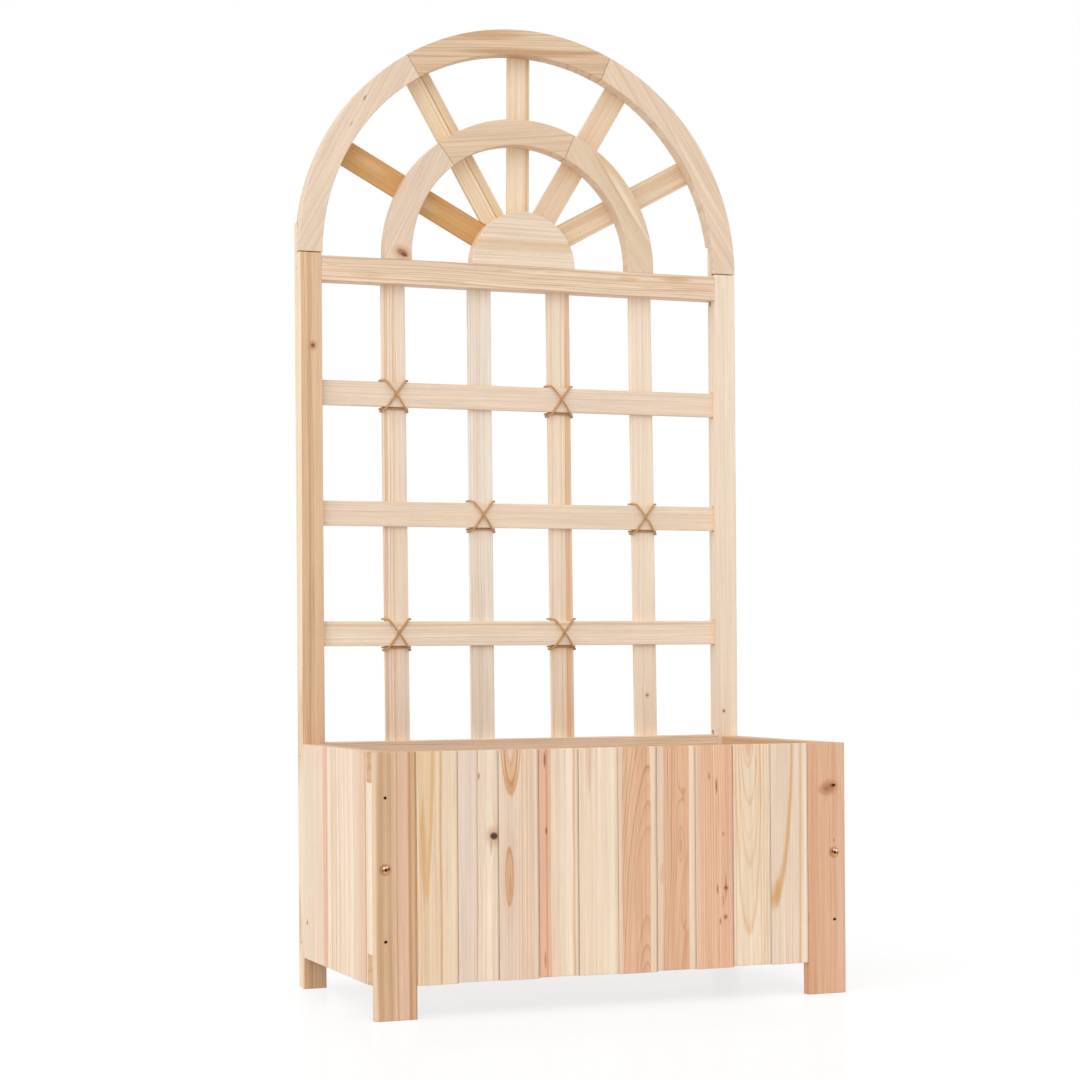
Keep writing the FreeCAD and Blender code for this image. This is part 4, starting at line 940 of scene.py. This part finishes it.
def carried_frames(line):
    """A side direction at every place that turns no more than the line does."""
    frames = []
    side = Vector((0, 1, 0))
    for number, place in enumerate(line):
        ahead = line[min(number + 1, len(line) - 1)]
        before = line[max(number - 1, 0)]
        along = (ahead - before).normalized()
        side = (side - along * side.dot(along)).normalized()
        frames.append((along, side, along.cross(side)))
    return frames


def around(side, up, angle):
    """A direction square to a line, at an angle from its side direction."""
    return side * math.cos(angle) + up * math.sin(angle)


def tube(line, radius, taper, sides, points, faces):
    """Adds a closed round strand along a line, which loses a share of its radius towards the end."""
    first = len(points)
    for number, (place, (along, side, up)) in enumerate(zip(line, carried_frames(line))):
        share = number / (len(line) - 1)
        for turn in range(sides):
            angle = 2 * math.pi * turn / sides
            points.append(place + around(side, up, angle) * (radius * (1 - taper * share)))
    for ring in range(len(line) - 1):
        for turn in range(sides):
            low = first + ring * sides + turn
            high = first + ring * sides + (turn + 1) % sides
            faces.append((low, high, high + sides, low + sides))
    last = first + (len(line) - 1) * sides
    faces.append(tuple(range(first + sides - 1, first - 1, -1)))
    faces.append(tuple(range(last, last + sides)))


def plies(line):
    """The strands that twist round each other along the twine."""
    strands = []
    for ply in range(PLIES):
        strand = []
        for number, (place, (along, side, up)) in enumerate(zip(line, carried_frames(line))):
            angle = 2 * math.pi * (ply / PLIES + number * ROUTE_STEP / PLY_TURN)
            strand.append(place + around(side, up, angle) * PLY_OFFSET)
        strands.append(strand)
    return strands


def stray_fibres(line, chance):
    """Short hairs that stand off the twine, away from its ends."""
    frames = carried_frames(line)
    hairs = []
    for number in range(HAIRS):
        at = chance.randrange(BARE_PLACES, len(line) - BARE_PLACES)
        along, side, up = frames[at]
        away = around(side, up, chance.uniform(0, 2 * math.pi))
        length = chance.uniform(*HAIR_LENGTH) * MM
        start = line[at] + away * TWINE_RADIUS * 0.75
        lean = along * chance.choice((-1, 1)) * length * chance.uniform(0.5, 1.0)
        middle = start + away * length * 0.25 + lean * 0.5
        hairs.append([start, middle, start + away * length * chance.uniform(0.25, 0.6) + lean])
    return hairs


def twine_material():
    """Jute: brown strands with paler fibres along the lay."""
    material, t = new_material("jute")
    place = t.millimetres()
    fibres = t.noise(place, (3.2, 3.2, 3.2), 4.0, 0.7)
    patches = t.noise(place, (0.35, 0.35, 0.35), 2.0)
    colour = t.mix(t.step(fibres, 0.32, 0.7), linear((176, 124, 76)), linear((236, 196, 142)))
    colour = t.mix(t.times(patches, 0.45), colour, linear((196, 146, 94)))
    bump = t.node("ShaderNodeBump", {"Height": fibres, "Strength": 0.6, "Distance": 0.2 * MM}).outputs[0]
    shader = t.node("ShaderNodeBsdfPrincipled", {"Base Color": colour, "Roughness": 0.85,
                                                 "Specular IOR Level": 0.2, "Normal": bump})
    t.node("ShaderNodeOutputMaterial", {"Surface": shader.outputs[0]})
    return material


JUTE = twine_material()
LASHINGS = ("upper_far_left", "upper_mid_right", "middle_mid_left", "middle_far_right",
            "lower_far_left", "lower_mid_right")


def crossing_of(row, slat):
    """Where the back of a bar meets the front of a slat."""
    low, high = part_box("lattice_bar_" + row)
    tie_low, tie_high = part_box(f"twine_{row}_{slat}")
    return Vector(((tie_low.x + tie_high.x) / 2, high.y, (low.z + high.z) / 2))


for order, name in enumerate(LASHINGS):
    row, slat = name.split("_", 1)
    centre = crossing_of(row, slat)
    chance = random.Random(17 + order)
    route = [centre + point for point in rounded(lashing_route(), CORNER_RADIUS)]
    points = []
    faces = []
    for strand in plies(route):
        tube(strand, PLY_RADIUS, 0.0, PLY_SIDES, points, faces)
    for hair in stray_fibres(route, chance):
        tube(hair, HAIR_RADIUS, HAIR_TAPER, HAIR_SIDES, points, faces)
    mesh = bpy.data.meshes.new("lashing_" + name)
    mesh.from_pydata(points, [], faces)
    mesh.validate()
    for polygon in mesh.polygons:
        polygon.use_smooth = True
    mesh.materials.append(JUTE)
    piece = bpy.data.objects.new("lashing_" + name, mesh)
    bpy.context.scene.collection.objects.link(piece)
    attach(piece, "root")
    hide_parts("twine_" + name)

# ---------------------------------------------------------------- studio
WORLD_LIGHT = 0.62
FLOOR_HALF = 40.0
FLOOR_PAINT = 0.85               # what the lamps find
FLOOR_SHADED = 0.24              # the share of what the camera sees that shadows can take away
FLOOR_GLOW = 0.8
FLOOR_SHINE = 0.06
FLOOR_ROUGH = 0.16
WHITE = (1, 1, 1, 1)


def grey(level):
    return (level, level, level, 1)


def seen_by_camera(t):
    """1 for rays that bring what the camera sees, 0 for those that only carry light about."""
    rays = t.node("ShaderNodeLightPath").outputs
    return t.math("MAXIMUM", rays["Is Camera Ray"],
                  t.math("MAXIMUM", rays["Is Glossy Ray"], rays["Is Transmission Ray"]))


def white_floor():
    """A white floor: it takes shadows, and where no shadow falls the camera sees plain white."""
    mesh = bpy.data.meshes.new("studio_floor")
    corners = [(x * FLOOR_HALF, y * FLOOR_HALF, 0.0) for x, y in ((-1, -1), (1, -1), (1, 1), (-1, 1))]
    mesh.from_pydata(corners, [], [(0, 1, 2, 3)])
    floor = bpy.data.objects.new("studio_floor", mesh)
    bpy.context.scene.collection.objects.link(floor)
    material, t = new_material("studio_floor")
    seen = seen_by_camera(t)
    paint = t.mix(seen, grey(FLOOR_PAINT), grey(FLOOR_SHADED))
    matt = t.node("ShaderNodeBsdfDiffuse", {"Color": paint}).outputs[0]
    glow = t.node("ShaderNodeEmission", {"Color": WHITE,
                                         "Strength": t.times(seen, FLOOR_GLOW)}).outputs[0]
    both = t.node("ShaderNodeAddShader", {0: matt, 1: glow}).outputs[0]
    shine = t.node("ShaderNodeBsdfGlossy", {"Color": WHITE, "Roughness": FLOOR_ROUGH}).outputs[0]
    top = t.node("ShaderNodeMixShader", {0: FLOOR_SHINE, 1: both, 2: shine}).outputs[0]
    t.node("ShaderNodeOutputMaterial", {"Surface": top})
    mesh.materials.append(material)


def white_world():
    """Even white light from all round, and a white backdrop for the camera."""
    world = bpy.data.worlds.new("studio")
    bpy.context.scene.world = world
    world.use_nodes = True
    world.node_tree.nodes.clear()
    t = Tree(world.node_tree)
    strength = t.math("MULTIPLY_ADD", seen_by_camera(t), 1.0 - WORLD_LIGHT, WORLD_LIGHT)
    sky = t.node("ShaderNodeBackground", {"Color": WHITE, "Strength": strength})
    t.node("ShaderNodeOutputWorld", {"Surface": sky.outputs[0]})


def sun(name, toward, strength, spread):
    """A soft lamp that shines along toward."""
    lamp = bpy.data.lights.new(name, "SUN")
    lamp.energy = strength
    lamp.angle = math.radians(spread)
    holder = bpy.data.objects.new(name, lamp)
    holder.rotation_euler = Vector(toward).to_track_quat("-Z", "Y").to_euler()
    bpy.context.scene.collection.objects.link(holder)


white_world()
white_floor()
sun("left_key", (0.80, 0.42, -0.62), 1.15, 70)
sun("front_fill", (0.10, 0.85, -0.55), 0.55, 90)


# ---------------------------------------------------------------- camera
def add_camera():
    """The camera that took the photograph."""
    yaw = math.radians(CAMERA_YAW)
    pitch = math.radians(CAMERA_PITCH)
    roll = math.radians(CAMERA_ROLL)
    level = Vector((math.sin(yaw), math.cos(yaw), 0))
    right = Vector((math.cos(yaw), -math.sin(yaw), 0))
    ahead = level * math.cos(pitch) + Z_UP * math.sin(pitch)
    up = Z_UP * math.cos(pitch) - level * math.sin(pitch)
    rolled_right = right * math.cos(roll) + up * math.sin(roll)
    rolled_up = up * math.cos(roll) - right * math.sin(roll)
    lens = bpy.data.cameras.new("camera")
    lens.sensor_fit = "HORIZONTAL"
    lens.sensor_width = SENSOR
    lens.lens = SENSOR * FOCAL_PIXELS / IMAGE_SIDE
    lens.shift_x = (IMAGE_SIDE / 2 - CENTRE_PIXEL[0]) / IMAGE_SIDE
    lens.shift_y = (CENTRE_PIXEL[1] - IMAGE_SIDE / 2) / IMAGE_SIDE
    lens.clip_end = 200
    holder = bpy.data.objects.new("camera", lens)
    turn = Matrix((rolled_right, rolled_up, -ahead)).transposed().to_4x4()
    holder.matrix_world = Matrix.Translation(CAMERA_PLACE) @ turn
    bpy.context.scene.collection.objects.link(holder)
    bpy.context.scene.camera = holder


add_camera()
bpy.context.scene.view_settings.view_transform = "Standard"
